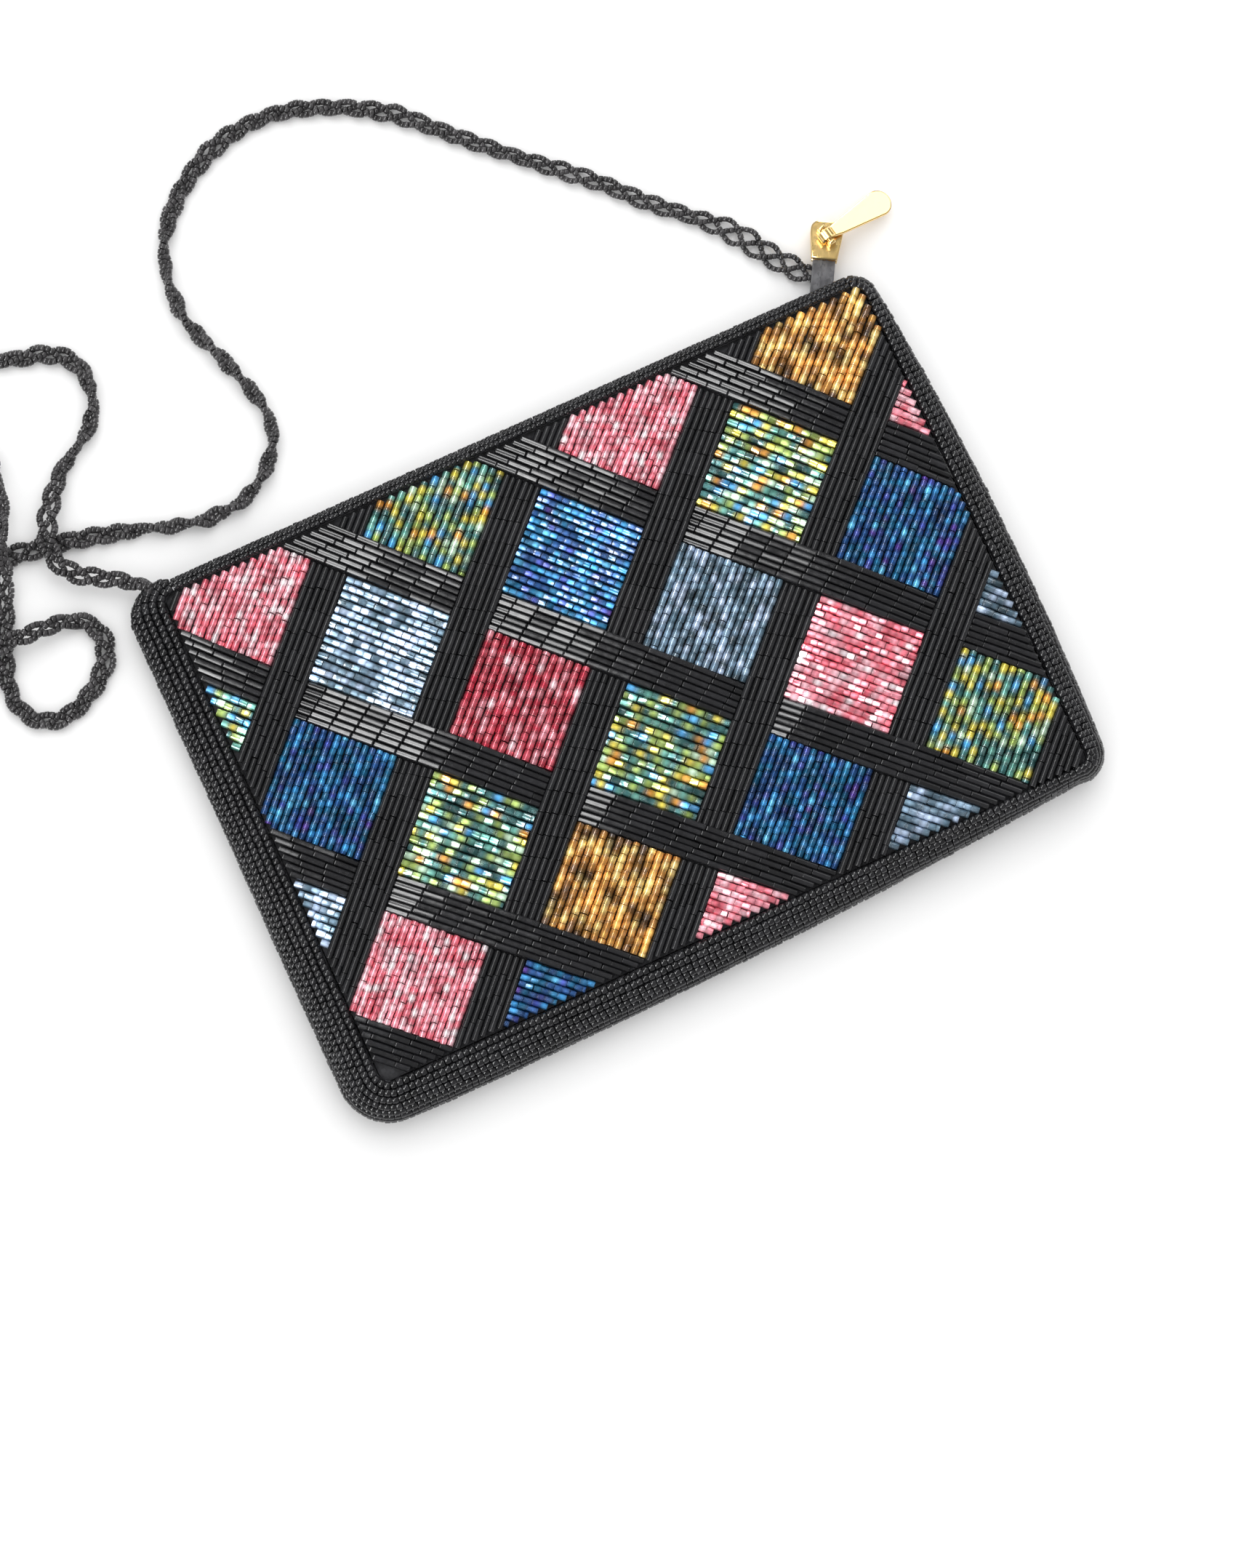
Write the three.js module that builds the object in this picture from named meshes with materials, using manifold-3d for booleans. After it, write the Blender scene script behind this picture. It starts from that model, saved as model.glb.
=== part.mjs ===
// Beaded evening purse, lying on its back: a crowned beaded front, a satin back, a beaded
// band rolled round three edges, a closed zip along the mouth and a braided bead strap.
// Millimetres, +Z up. The origin is the point of the flat back that the purse rests on,
// +X runs along the zip towards its pull, and +Y points from the purse's bottom to its mouth.
import * as THREE from 'three';
import { mergeVertices } from 'three/addons/utils/BufferGeometryUtils.js';
import Module from 'manifold-3d';

const wasm = await Module();
wasm.setup();

// Driving dimensions
const FRONT_WIDTH = 172.5; // flat beaded front, inside the rolled edges
const FRONT_HEIGHT = 121;
const FRONT_CENTRE = { x: 1.45, y: 1.6 };
const CORNER_RADIUS = 3; // of the front
const BOTTOM_HEIGHT = 14.5; // front's edge above the table at the purse's bottom
const MOUTH_HEIGHT = 8.5; // and at its mouth
const CROWN = 2.5; // how far the front's middle stands above its edges
const BEADED_CLOTH = 2.2; // backing cloth and one layer of beads
const BAND_CLOTH = 2;
const SATIN = 1.4; // folded satin of the back
const WIDEST_HEIGHT = 5; // height at which the rolled edge stands furthest out
const BAND_LIFT = 0.3; // the band's underside clears the table
const GAP = 0.3; // between neighbouring pieces

// How far the rolled edge stands out from the front at the start, middle and end of each
// side, and how far it is tucked under the back. The sides run anticlockwise from the
// mouth's left end.
const SIDES = [
  { name: 'left', start: 9, middle: 9, end: 9, tuck: 5, steps: 6 },
  { name: 'bottom', start: 8.5, middle: 7.5, end: 2.4, tuck: 5, steps: 10 },
  { name: 'right', start: 5.2, middle: 6.4, end: 3, tuck: 5, steps: 8 },
  { name: 'top', start: 3.2, middle: 3.2, end: 3.2, tuck: 3.2, steps: 10 },
];
const CORNER_STEPS = 6;
const BAND_CUT = 0.06; // share of a top corner between the band's end and the mouth rim
const FRONT_RINGS = 7;
const ROLL_STEPS = 6; // facets over the rolled edge
const TUCK_STEPS = 3; // facets under it

// Zip
const TAPE_THICKNESS = 0.8;
const TAPE_REACH = { inner: 54, outer: 62.6 }; // Y of the tapes' two edges
const TAPE_ENDS = { left: -78, right: 80 };
const TAPE_STEPS = 10;
const COIL_ENDS = { left: -80, right: 82.5 };
const COIL_FACE = { inner: 62.9, outer: 64.9 };
const COIL_FLOOR = SATIN + GAP;
const COIL_WIDTH = 4;
const TOOTH_PITCH = 2.5;
const TOOTH_DEPTH = 0.7;
const TOOTH_SLOPE = 0.25; // share of the pitch taken by each sloping side of a tooth
const RIM_LOW = 5.9; // lower edge of the mouth rim

// Zip tail, slider and pull
const SLIDER_PLACE = { x: 84.9, y: 74.6, z: 3.8 };
const TAPE_HEADING = THREE.MathUtils.degToRad(60); // way that the tail points
const PULL_HEADING = THREE.MathUtils.degToRad(11); // way that the pull lies
const PULL_DROOP = THREE.MathUtils.degToRad(19);
const TAIL_WIDTH = 5.1;
const TAIL_THICKNESS = 1.4;
const TAIL_START_Y = COIL_FACE.outer + GAP;
const SLIDER_LENGTH = 8.7;
const SLIDER_REAR_WIDTH = 5.8;
const SLIDER_FRONT_WIDTH = 7.4;
const SLIDER_THICKNESS = 4.4;
const SLIDER_SLOT = 1.5;
const SLIDER_WEB = 2; // metal left between the two tape slots
const SLIDER_NOSE_SHARE = 0.4; // of its half length, where its front starts to round off
const SLIDER_NOSE_SEGMENTS = 5;
const BRIDGE_HEIGHT = 4.7; // bar of the bridge above the slider's middle
const BRIDGE_FORWARD = 0.5;
const BAR_RADIUS = 0.6;
const BAR_SEGMENTS = 12;
const CHEEK_SIZE = { along: 0.9, across: 1.6 };
const CHEEK_OVERLAP = 0.3; // the cheeks' feet sink into the slider and their tops cover the bar
const PULL_LENGTH = 18.5;
const PULL_NECK_WIDTH = 3.4;
const PULL_TIP_WIDTH = 6.2;
const PULL_THICKNESS = 1.1;
const EYE_OUTER_RADIUS = 1.9;
const EYE_INNER_RADIUS = 0.95;
const EYE_WIDTH = 2.4;
const PULL_START = 1.3; // the tab leaves the eye here
const PULL_SEGMENTS = 8;

// Strap: width and thickness of the flat braid, and the route of its middle line
const STRAP_WIDTH = 4.4;
const STRAP_THICKNESS = 2.4;
const STRAP_ON_TABLE = 1.5; // height of its middle line where it lies on the table
const STRAP_EDGE_SHARE = 0.5; // of its thickness, left at its two edges
const STRAP_RUN_STEPS = 64;
const STRAP_SLACK_STEPS = 96;

// From under the zip tail, in a wide bend above the purse, to the left corner: [x, y] on the
// table, or [x, y, z] above it.
const STRAP_RUN = [
  [80, 68.4], [77.4, 71.2], [75.2, 73.6], [72.5, 77.3], [69.7, 81.8], [66, 87], [59.8, 93.2],
  [52.4, 100], [44.4, 108.6], [35.6, 116.7], [26.8, 124.7], [18.3, 132.9], [10, 141.2],
  [5.1, 144.9], [0, 148], [-5.3, 150.5], [-10.8, 152.6], [-16.5, 153.9], [-22.4, 154.2],
  [-28.3, 153.5], [-33.9, 151.7], [-39.1, 149], [-44, 145.5], [-48.3, 141.2], [-51.6, 136.2],
  [-53.6, 130.6], [-54.4, 124.7], [-54.2, 118.7], [-52.5, 113], [-50.3, 107.6], [-48.5, 101.8],
  [-46.8, 96.1], [-46.1, 90.2], [-47.6, 84.9], [-51.2, 80.2], [-56, 76.7], [-61.3, 75],
  [-67.1, 74.8], [-74, 76],
];

// On past the corner, back in a loose loop, round a small ring, round a wide loop and home
// to the purse's left corner. It lies over itself in three low humps.
const STRAP_SLACK = [
  [-74.3, 76.1], [-83, 79], [-91, 81.3], [-97.5, 83], [-104, 84.3], [-111, 85.4], [-119, 86.6],
  [-130, 88.5], [-141, 92], [-148.5, 98.5], [-149.5, 107.5], [-142.5, 114.5], [-131, 117.5],
  [-119, 117], [-110, 113], [-107, 105.5, 1.7], [-109, 97, 3.4], [-111.2, 91, 4.5],
  [-113.2, 86, 4.8], [-115.4, 80.5, 4.1], [-118.5, 73.5, 1.8], [-121.8, 66.5], [-123.9, 60],
  [-124.3, 54.3], [-122.2, 49.8], [-118.8, 47.5], [-114, 47.2], [-108.8, 49.3], [-104.8, 52],
  [-101.8, 55.4], [-100.6, 59.3], [-101.4, 63.2], [-104.2, 65.8, 2.2], [-108.9, 66.8, 3.5],
  [-114.5, 67, 4.7], [-121, 67.2, 5], [-128, 66.3, 4.3], [-136, 65.8, 2.4], [-146, 66.6],
  [-158, 69.5], [-170, 76.5], [-179, 88], [-182.5, 102.5], [-179.5, 117.5], [-170, 130],
  [-156, 137], [-140, 139], [-124, 137], [-109, 132.5], [-99.5, 129], [-91.8, 126.1],
  [-87.9, 125.3], [-84.1, 123.4], [-81.5, 121], [-80.2, 118], [-80, 114], [-80.5, 110.5],
  [-81.7, 107.9], [-83.5, 105.7], [-86.1, 103.4], [-89.1, 101.4], [-92.5, 99.4, 1.8],
  [-95.3, 96.8, 2.5], [-98.1, 93.3, 3.5], [-100.3, 90.2, 4.3], [-102.4, 86.2, 4.8],
  [-103.3, 82, 4.8], [-102.5, 78.4, 4.6], [-100.7, 75.8, 4.4], [-98.3, 73.8, 4.3],
  [-94.8, 71.7, 4.2], [-91.4, 69.6, 4.4], [-88.9, 67.6, 4.6],
];

const edges = {
  left: FRONT_CENTRE.x - FRONT_WIDTH / 2,
  right: FRONT_CENTRE.x + FRONT_WIDTH / 2,
  bottom: FRONT_CENTRE.y - FRONT_HEIGHT / 2,
  top: FRONT_CENTRE.y + FRONT_HEIGHT / 2,
};

const lerp = THREE.MathUtils.lerp;

// Height of the front's outer face: it slopes from the full bottom to the flat mouth.
function frontTop(x, y) {
  const up = (y - edges.bottom) / FRONT_HEIGHT;
  const across = (x - FRONT_CENTRE.x) / (FRONT_WIDTH / 2);
  const along = (y - FRONT_CENTRE.y) / (FRONT_HEIGHT / 2);
  const swell = CROWN * Math.max(0, 1 - across ** 2) * Math.max(0, 1 - along ** 2);
  return lerp(BOTTOM_HEIGHT, MOUTH_HEIGHT, up) + swell;
}

// A value along a side, through its start, middle and end.
function alongSide(side, t) {
  const even = lerp(side.start, side.end, t);
  const bulge = side.middle - (side.start + side.end) / 2;
  return even + bulge * 4 * t * (1 - t);
}

function station(x, y, angle, spread, tuck) {
  return { x, y, nx: Math.cos(angle), ny: Math.sin(angle), spread, tuck, height: frontTop(x, y) };
}

// The straight stretch of each side, with the way that it faces.
const straight = {
  left: edges.left + CORNER_RADIUS,
  right: edges.right - CORNER_RADIUS,
  bottom: edges.bottom + CORNER_RADIUS,
  top: edges.top - CORNER_RADIUS,
};
const RUNS = {
  left: { x0: edges.left, y0: straight.top, x1: edges.left, y1: straight.bottom, angle: Math.PI },
  bottom: { x0: straight.left, y0: edges.bottom, x1: straight.right, y1: edges.bottom, angle: Math.PI * 1.5 },
  right: { x0: edges.right, y0: straight.bottom, x1: edges.right, y1: straight.top, angle: Math.PI * 2 },
  top: { x0: straight.right, y0: edges.top, x1: straight.left, y1: edges.top, angle: Math.PI * 2.5 },
};

// A station on the corner after a side, from its end at 0 to the next side's start at 1.
function cornerStation(index, t) {
  const side = SIDES[index];
  const next = SIDES[(index + 1) % SIDES.length];
  const run = RUNS[side.name];
  const turned = run.angle + (t * Math.PI) / 2;
  const x = run.x1 + CORNER_RADIUS * (Math.cos(turned) - Math.cos(run.angle));
  const y = run.y1 + CORNER_RADIUS * (Math.sin(turned) - Math.sin(run.angle));
  return station(x, y, turned, lerp(side.end, next.start, t), lerp(side.tuck, next.tuck, t));
}

function sideStations(side) {
  const run = RUNS[side.name];
  return Array.from({ length: side.steps + 1 }, (_, step) => {
    const t = step / side.steps;
    const x = lerp(run.x0, run.x1, t);
    const y = lerp(run.y0, run.y1, t);
    return station(x, y, run.angle, alongSide(side, t), side.tuck);
  });
}

// Points round the front's edge, anticlockwise from the left end of the mouth.
const corners = SIDES.map((_, index) => (
  Array.from({ length: CORNER_STEPS - 1 }, (__, step) => cornerStation(index, (step + 1) / CORNER_STEPS))
));
const loop = SIDES.flatMap((side, index) => [...sideStations(side), ...corners[index]]);
const topIndex = SIDES.length - 1;
const topStations = sideStations(SIDES[topIndex]);

// The band runs from the top left corner round the bottom to the top right corner.
const bandStations = [
  cornerStation(topIndex, BAND_CUT),
  ...corners[topIndex],
  ...loop.slice(0, loop.length - corners[topIndex].length - topStations.length),
  cornerStation(topIndex - 1, 1 - BAND_CUT),
];

// Closed geometry from points and triangles, turned so that its faces point outwards.
function closedGeometry(points, triangles) {
  const a = new THREE.Vector3();
  let volume = 0;
  triangles.forEach(([i, j, k]) => {
    volume += a.crossVectors(points[j], points[k]).dot(points[i]);
  });
  const ordered = volume < 0 ? triangles.map(([i, j, k]) => [i, k, j]) : triangles;
  const geometry = new THREE.BufferGeometry();
  const places = points.flatMap((p) => [p.x, p.y, p.z]);
  geometry.setAttribute('position', new THREE.Float32BufferAttribute(places, 3));
  geometry.setIndex(ordered.flat());
  geometry.computeVertexNormals();
  return geometry;
}

// A sheet over an outline, in rings from the middle outwards.
function sheetGeometry(outline, centre, topAt, thickness) {
  const points = [];
  const triangles = [];
  const count = outline.length;
  [0, thickness].forEach((drop) => {
    points.push(new THREE.Vector3(centre.x, centre.y, topAt(centre.x, centre.y) - drop));
    for (let ring = 1; ring <= FRONT_RINGS; ring += 1) {
      outline.forEach((p) => {
        const x = lerp(centre.x, p.x, ring / FRONT_RINGS);
        const y = lerp(centre.y, p.y, ring / FRONT_RINGS);
        points.push(new THREE.Vector3(x, y, topAt(x, y) - drop));
      });
    }
  });
  const under = 1 + FRONT_RINGS * count;
  const at = (face, ring, k) => face + 1 + (ring - 1) * count + (k % count);
  for (let k = 0; k < count; k += 1) {
    triangles.push([0, at(0, 1, k), at(0, 1, k + 1)]);
    triangles.push([under, at(under, 1, k + 1), at(under, 1, k)]);
    for (let ring = 1; ring < FRONT_RINGS; ring += 1) {
      triangles.push([at(0, ring, k), at(0, ring + 1, k), at(0, ring + 1, k + 1)]);
      triangles.push([at(0, ring, k), at(0, ring + 1, k + 1), at(0, ring, k + 1)]);
      triangles.push([at(under, ring, k), at(under, ring + 1, k + 1), at(under, ring + 1, k)]);
      triangles.push([at(under, ring, k), at(under, ring, k + 1), at(under, ring + 1, k + 1)]);
    }
    triangles.push([at(0, FRONT_RINGS, k), at(under, FRONT_RINGS, k), at(under, FRONT_RINGS, k + 1)]);
    triangles.push([at(0, FRONT_RINGS, k), at(under, FRONT_RINGS, k + 1), at(0, FRONT_RINGS, k + 1)]);
  }
  return closedGeometry(points, triangles);
}

// Triangles that fill a profile, turning the same way as its points.
function capTriangles(profile) {
  const flat = profile.map(([out, z]) => new THREE.Vector2(out, z));
  const way = Math.sign(THREE.ShapeUtils.area(flat));
  return THREE.ShapeUtils.triangulateShape(flat, []).map(([i, j, k]) => {
    const turn = Math.sign(THREE.ShapeUtils.area([flat[i], flat[j], flat[k]]));
    return turn === way ? [i, j, k] : [i, k, j];
  });
}

// A profile of [outward, height] points carried along stations and capped at both ends.
function sweptGeometry(stations, profileAt) {
  const points = [];
  const triangles = [];
  const profiles = stations.map(profileAt);
  const count = profiles[0].length;
  stations.forEach((s, index) => {
    profiles[index].forEach(([out, z]) => {
      points.push(new THREE.Vector3(s.x + s.nx * out, s.y + s.ny * out, z));
    });
  });
  for (let index = 0; index + 1 < stations.length; index += 1) {
    for (let k = 0; k < count; k += 1) {
      const here = index * count + k;
      const beside = index * count + ((k + 1) % count);
      triangles.push([here, beside, beside + count], [here, beside + count, here + count]);
    }
  }
  const lastRing = (stations.length - 1) * count;
  capTriangles(profiles[0]).forEach(([i, j, k]) => triangles.push([i, k, j]));
  capTriangles(profiles[profiles.length - 1]).forEach(([i, j, k]) => {
    triangles.push([i + lastRing, j + lastRing, k + lastRing]);
  });
  return closedGeometry(points, triangles);
}

// The band's section: rolled from the front's edge to its widest point, then tucked under.
function bandProfile(s) {
  const half = GAP / 2;
  const outer = [];
  const inner = [];
  for (let step = 0; step <= ROLL_STEPS; step += 1) {
    const turn = (step / ROLL_STEPS) * (Math.PI / 2);
    outer.push([half + (s.spread - half) * Math.sin(turn),
      WIDEST_HEIGHT + (s.height - WIDEST_HEIGHT) * Math.cos(turn)]);
    inner.push([half + (s.spread - BAND_CLOTH - half) * Math.sin(turn),
      WIDEST_HEIGHT + (s.height - BAND_CLOTH - WIDEST_HEIGHT) * Math.cos(turn)]);
  }
  const depth = WIDEST_HEIGHT - BAND_LIFT;
  for (let step = 1; step <= TUCK_STEPS; step += 1) {
    const turn = (step / TUCK_STEPS) * (Math.PI / 2);
    outer.push([s.spread - s.tuck * (1 - Math.cos(turn)), WIDEST_HEIGHT - depth * Math.sin(turn)]);
    inner.push([s.spread - s.tuck + (s.tuck - BAND_CLOTH) * Math.cos(turn),
      WIDEST_HEIGHT - (depth - BAND_CLOTH) * Math.sin(turn)]);
  }
  return [...outer, ...inner.reverse()];
}

// The mouth rim's section: the same roll, ending above the zip.
function rimProfile(s) {
  const half = GAP / 2;
  const outer = [];
  const inner = [];
  for (let step = 0; step <= ROLL_STEPS; step += 1) {
    const turn = (step / ROLL_STEPS) * (Math.PI / 2);
    outer.push([half + (s.spread - half) * Math.sin(turn), RIM_LOW + (s.height - RIM_LOW) * Math.cos(turn)]);
    inner.push([half + (s.spread - BAND_CLOTH - half) * Math.sin(turn),
      RIM_LOW + (s.height - BAND_CLOTH - RIM_LOW) * Math.cos(turn)]);
  }
  return [...outer, ...inner.reverse()];
}

function solidOf(geometry) {
  const bare = geometry.clone();
  bare.deleteAttribute('normal');
  bare.deleteAttribute('uv');
  const merged = mergeVertices(bare);
  return new wasm.Manifold(new wasm.Mesh({
    numProp: 3,
    vertProperties: new Float32Array(merged.attributes.position.array),
    triVerts: new Uint32Array(merged.index.array),
  }));
}

function geometryOf(solid) {
  const mesh = solid.getMesh();
  const geometry = new THREE.BufferGeometry();
  geometry.setAttribute('position', new THREE.BufferAttribute(mesh.vertProperties, 3));
  geometry.setIndex(new THREE.BufferAttribute(mesh.triVerts, 1));
  geometry.computeVertexNormals();
  return geometry;
}

function box(width, depth, height, x, y, z) {
  return new THREE.BoxGeometry(width, depth, height).translate(x, y, z);
}

function frontPanel() {
  const outline = loop.map((s) => ({ x: s.x - (s.nx * GAP) / 2, y: s.y - (s.ny * GAP) / 2 }));
  return sheetGeometry(outline, FRONT_CENTRE, frontTop, BEADED_CLOTH);
}

// The back lies flat on the table and ends where the band is tucked under it.
function backPanel() {
  const outline = loop.map((s) => {
    const out = s.spread - s.tuck - GAP;
    return new THREE.Vector2(s.x + s.nx * out, s.y + s.ny * out);
  });
  return new THREE.ExtrudeGeometry(new THREE.Shape(outline), { depth: SATIN, bevelEnabled: false });
}

// The front tape follows the inside of the front, the back tape lies on the satin.
function frontTape() {
  const stations = Array.from({ length: TAPE_STEPS + 1 }, (_, step) => {
    const x = lerp(TAPE_ENDS.right, TAPE_ENDS.left, step / TAPE_STEPS);
    return station(x, edges.top, RUNS.top.angle, 0, 0);
  });
  return sweptGeometry(stations, (s) => {
    const heightAt = (y) => frontTop(s.x, y) - BEADED_CLOTH - GAP;
    const inner = TAPE_REACH.inner - s.y;
    const outer = COIL_FACE.inner - GAP - s.y;
    const edge = COIL_FLOOR + COIL_WIDTH;
    return [
      [inner, heightAt(TAPE_REACH.inner)],
      [outer, edge],
      [outer, edge - TAPE_THICKNESS],
      [inner, heightAt(TAPE_REACH.inner) - TAPE_THICKNESS],
    ];
  });
}

function backTape() {
  const middle = (TAPE_REACH.inner + TAPE_REACH.outer) / 2;
  return box(TAPE_ENDS.right - TAPE_ENDS.left, TAPE_REACH.outer - TAPE_REACH.inner, TAPE_THICKNESS,
    (TAPE_ENDS.left + TAPE_ENDS.right) / 2, middle, COIL_FLOOR + TAPE_THICKNESS / 2);
}

// The closed teeth: one comb with a notch between each two teeth.
function zipCoil() {
  const count = Math.floor((COIL_ENDS.right - COIL_ENDS.left) / TOOTH_PITCH);
  const shape = new THREE.Shape();
  shape.moveTo(COIL_ENDS.left, COIL_FACE.inner);
  shape.lineTo(COIL_ENDS.left + count * TOOTH_PITCH, COIL_FACE.inner);
  for (let tooth = count; tooth > 0; tooth -= 1) {
    const x = COIL_ENDS.left + tooth * TOOTH_PITCH;
    shape.lineTo(x, COIL_FACE.outer - TOOTH_DEPTH);
    shape.lineTo(x - TOOTH_PITCH * TOOTH_SLOPE, COIL_FACE.outer);
    shape.lineTo(x - TOOTH_PITCH * (1 - TOOTH_SLOPE), COIL_FACE.outer);
  }
  shape.lineTo(COIL_ENDS.left, COIL_FACE.outer - TOOTH_DEPTH);
  shape.closePath();
  const comb = new THREE.ExtrudeGeometry(shape, { depth: COIL_WIDTH, bevelEnabled: false });
  return comb.translate(0, 0, COIL_FLOOR);
}

// The loose tape end: square to the mouth at its root and to the slider at its end.
function zipTail() {
  const ahead = { x: Math.cos(TAPE_HEADING), y: Math.sin(TAPE_HEADING) };
  const reach = SLIDER_LENGTH / 2 + GAP;
  const end = { x: SLIDER_PLACE.x - ahead.x * reach, y: SLIDER_PLACE.y - ahead.y * reach };
  const corner = (side) => {
    const out = (side * TAIL_WIDTH) / 2;
    return { x: end.x - out * ahead.y, y: end.y + out * ahead.x };
  };
  const root = (p) => p.x - ((p.y - TAIL_START_Y) * ahead.x) / ahead.y;
  const left = corner(1);
  const right = corner(-1);
  const shape = new THREE.Shape();
  shape.moveTo(root(left), TAIL_START_Y);
  shape.lineTo(root(right), TAIL_START_Y);
  shape.lineTo(right.x, right.y);
  shape.lineTo(left.x, left.y);
  shape.closePath();
  const strip = new THREE.ExtrudeGeometry(shape, { depth: TAIL_THICKNESS, bevelEnabled: false });
  return strip.translate(0, 0, SLIDER_PLACE.z - TAIL_THICKNESS / 2);
}

// Slider: two plates on a middle web, with a bar on two cheeks that carries the pull.
function zipSlider() {
  const half = SLIDER_LENGTH / 2;
  const outline = new THREE.Shape();
  outline.moveTo(-half, -SLIDER_REAR_WIDTH / 2);
  outline.lineTo(half * SLIDER_NOSE_SHARE, -SLIDER_FRONT_WIDTH / 2);
  outline.quadraticCurveTo(half, -SLIDER_FRONT_WIDTH / 2, half, -SLIDER_FRONT_WIDTH / 4);
  outline.lineTo(half, SLIDER_FRONT_WIDTH / 4);
  outline.quadraticCurveTo(half, SLIDER_FRONT_WIDTH / 2, half * SLIDER_NOSE_SHARE, SLIDER_FRONT_WIDTH / 2);
  outline.lineTo(-half, SLIDER_REAR_WIDTH / 2);
  outline.closePath();
  const plates = new THREE.ExtrudeGeometry(outline, {
    depth: SLIDER_THICKNESS, bevelEnabled: false, curveSegments: SLIDER_NOSE_SEGMENTS,
  });
  let solid = solidOf(plates.translate(0, 0, -SLIDER_THICKNESS / 2));
  const slotDepth = SLIDER_FRONT_WIDTH;
  [-1, 1].forEach((side) => {
    const slot = box(SLIDER_LENGTH * 2, slotDepth, SLIDER_SLOT, 0, side * (SLIDER_WEB + slotDepth) / 2, 0);
    solid = solid.subtract(solidOf(slot));
  });
  const cheekPlace = EYE_WIDTH / 2 + GAP + CHEEK_SIZE.along / 2;
  const cheekFoot = SLIDER_THICKNESS / 2 - CHEEK_OVERLAP;
  const cheekTop = BRIDGE_HEIGHT + BAR_RADIUS + CHEEK_OVERLAP;
  const askew = PULL_HEADING - TAPE_HEADING;
  const place = (geometry) => solidOf(geometry.rotateZ(askew).translate(BRIDGE_FORWARD, 0, 0));
  [-1, 1].forEach((side) => {
    const cheek = box(CHEEK_SIZE.across, CHEEK_SIZE.along, cheekTop - cheekFoot,
      0, side * cheekPlace, (cheekTop + cheekFoot) / 2);
    solid = solid.add(place(cheek));
  });
  const bar = new THREE.CylinderGeometry(BAR_RADIUS, BAR_RADIUS, cheekPlace * 2, BAR_SEGMENTS);
  return geometryOf(solid.add(place(bar.translate(0, 0, BRIDGE_HEIGHT))));
}

// Pull: a tab with a round end, on an eye that turns about the slider's bar.
function zipPull() {
  const eyeShape = new THREE.Shape().absarc(0, 0, EYE_OUTER_RADIUS, 0, Math.PI * 2);
  eyeShape.holes.push(new THREE.Path().absarc(0, 0, EYE_INNER_RADIUS, 0, Math.PI * 2, true));
  const eye = new THREE.ExtrudeGeometry(eyeShape, {
    depth: EYE_WIDTH, bevelEnabled: false, curveSegments: PULL_SEGMENTS,
  });
  eye.translate(0, 0, -EYE_WIDTH / 2).rotateX(Math.PI / 2);
  const round = PULL_TIP_WIDTH / 2;
  const tab = new THREE.Shape();
  tab.moveTo(PULL_START, -EYE_WIDTH / 2);
  tab.lineTo(EYE_OUTER_RADIUS * 2, -PULL_NECK_WIDTH / 2);
  tab.lineTo(PULL_LENGTH - round, -round);
  tab.absarc(PULL_LENGTH - round, 0, round, -Math.PI / 2, Math.PI / 2);
  tab.lineTo(EYE_OUTER_RADIUS * 2, PULL_NECK_WIDTH / 2);
  tab.lineTo(PULL_START, EYE_WIDTH / 2);
  tab.closePath();
  const plate = new THREE.ExtrudeGeometry(tab, {
    depth: PULL_THICKNESS, bevelEnabled: false, curveSegments: PULL_SEGMENTS,
  });
  plate.translate(0, 0, -PULL_THICKNESS / 2);
  return geometryOf(solidOf(eye).add(solidOf(plate)));
}

// The braid's outer form: a flat band with round edges along its route.
function strapGeometry(route, steps) {
  const places = route.map(([x, y, z = STRAP_ON_TABLE]) => new THREE.Vector3(x, y, z));
  const path = new THREE.CatmullRomCurve3(places);
  const halfWidth = STRAP_WIDTH / 2;
  const halfThickness = STRAP_THICKNESS / 2;
  const flat = halfWidth - halfThickness;
  const halfEdge = halfThickness * STRAP_EDGE_SHARE;
  const section = new THREE.Shape();
  section.moveTo(halfThickness, -flat);
  section.lineTo(halfThickness, flat);
  section.lineTo(halfEdge, halfWidth);
  section.lineTo(-halfEdge, halfWidth);
  section.lineTo(-halfThickness, flat);
  section.lineTo(-halfThickness, -flat);
  section.lineTo(-halfEdge, -halfWidth);
  section.lineTo(halfEdge, -halfWidth);
  section.closePath();
  return new THREE.ExtrudeGeometry(section, { steps, extrudePath: path, bevelEnabled: false });
}

const looks = {
  lattice: { color: 0x3a4250, roughness: 0.3, metalness: 0.1 },
  beads: { color: 0x17171b, roughness: 0.3, metalness: 0 },
  satin: { color: 0x131315, roughness: 0.5, metalness: 0 },
  tape: { color: 0x1d1d20, roughness: 0.85, metalness: 0 },
  teeth: { color: 0x111113, roughness: 0.4, metalness: 0 },
  gold: { color: 0xe0ad45, roughness: 0.22, metalness: 1 },
};

function piece(name, geometry, look) {
  const mesh = new THREE.Mesh(geometry, new THREE.MeshStandardMaterial(look));
  mesh.name = name;
  return mesh;
}

const purse = new THREE.Group();
purse.add(
  piece('front_panel', frontPanel(), looks.lattice),
  piece('edge_band', sweptGeometry(bandStations, bandProfile), looks.beads),
  piece('mouth_rim', sweptGeometry(topStations, rimProfile), looks.beads),
  piece('back_panel', backPanel(), looks.satin),
  piece('zip_tape_front', frontTape(), looks.tape),
  piece('zip_tape_back', backTape(), looks.tape),
  piece('zip_coil', zipCoil(), looks.teeth),
  piece('zip_tail', zipTail(), looks.tape),
  piece('strap_run', strapGeometry(STRAP_RUN, STRAP_RUN_STEPS), looks.beads),
  piece('strap_slack', strapGeometry(STRAP_SLACK, STRAP_SLACK_STEPS), looks.beads),
);

const slider = new THREE.Group();
slider.position.set(SLIDER_PLACE.x, SLIDER_PLACE.y, SLIDER_PLACE.z);
slider.rotation.z = TAPE_HEADING;
slider.add(piece('zip_slider', zipSlider(), looks.gold));

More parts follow.
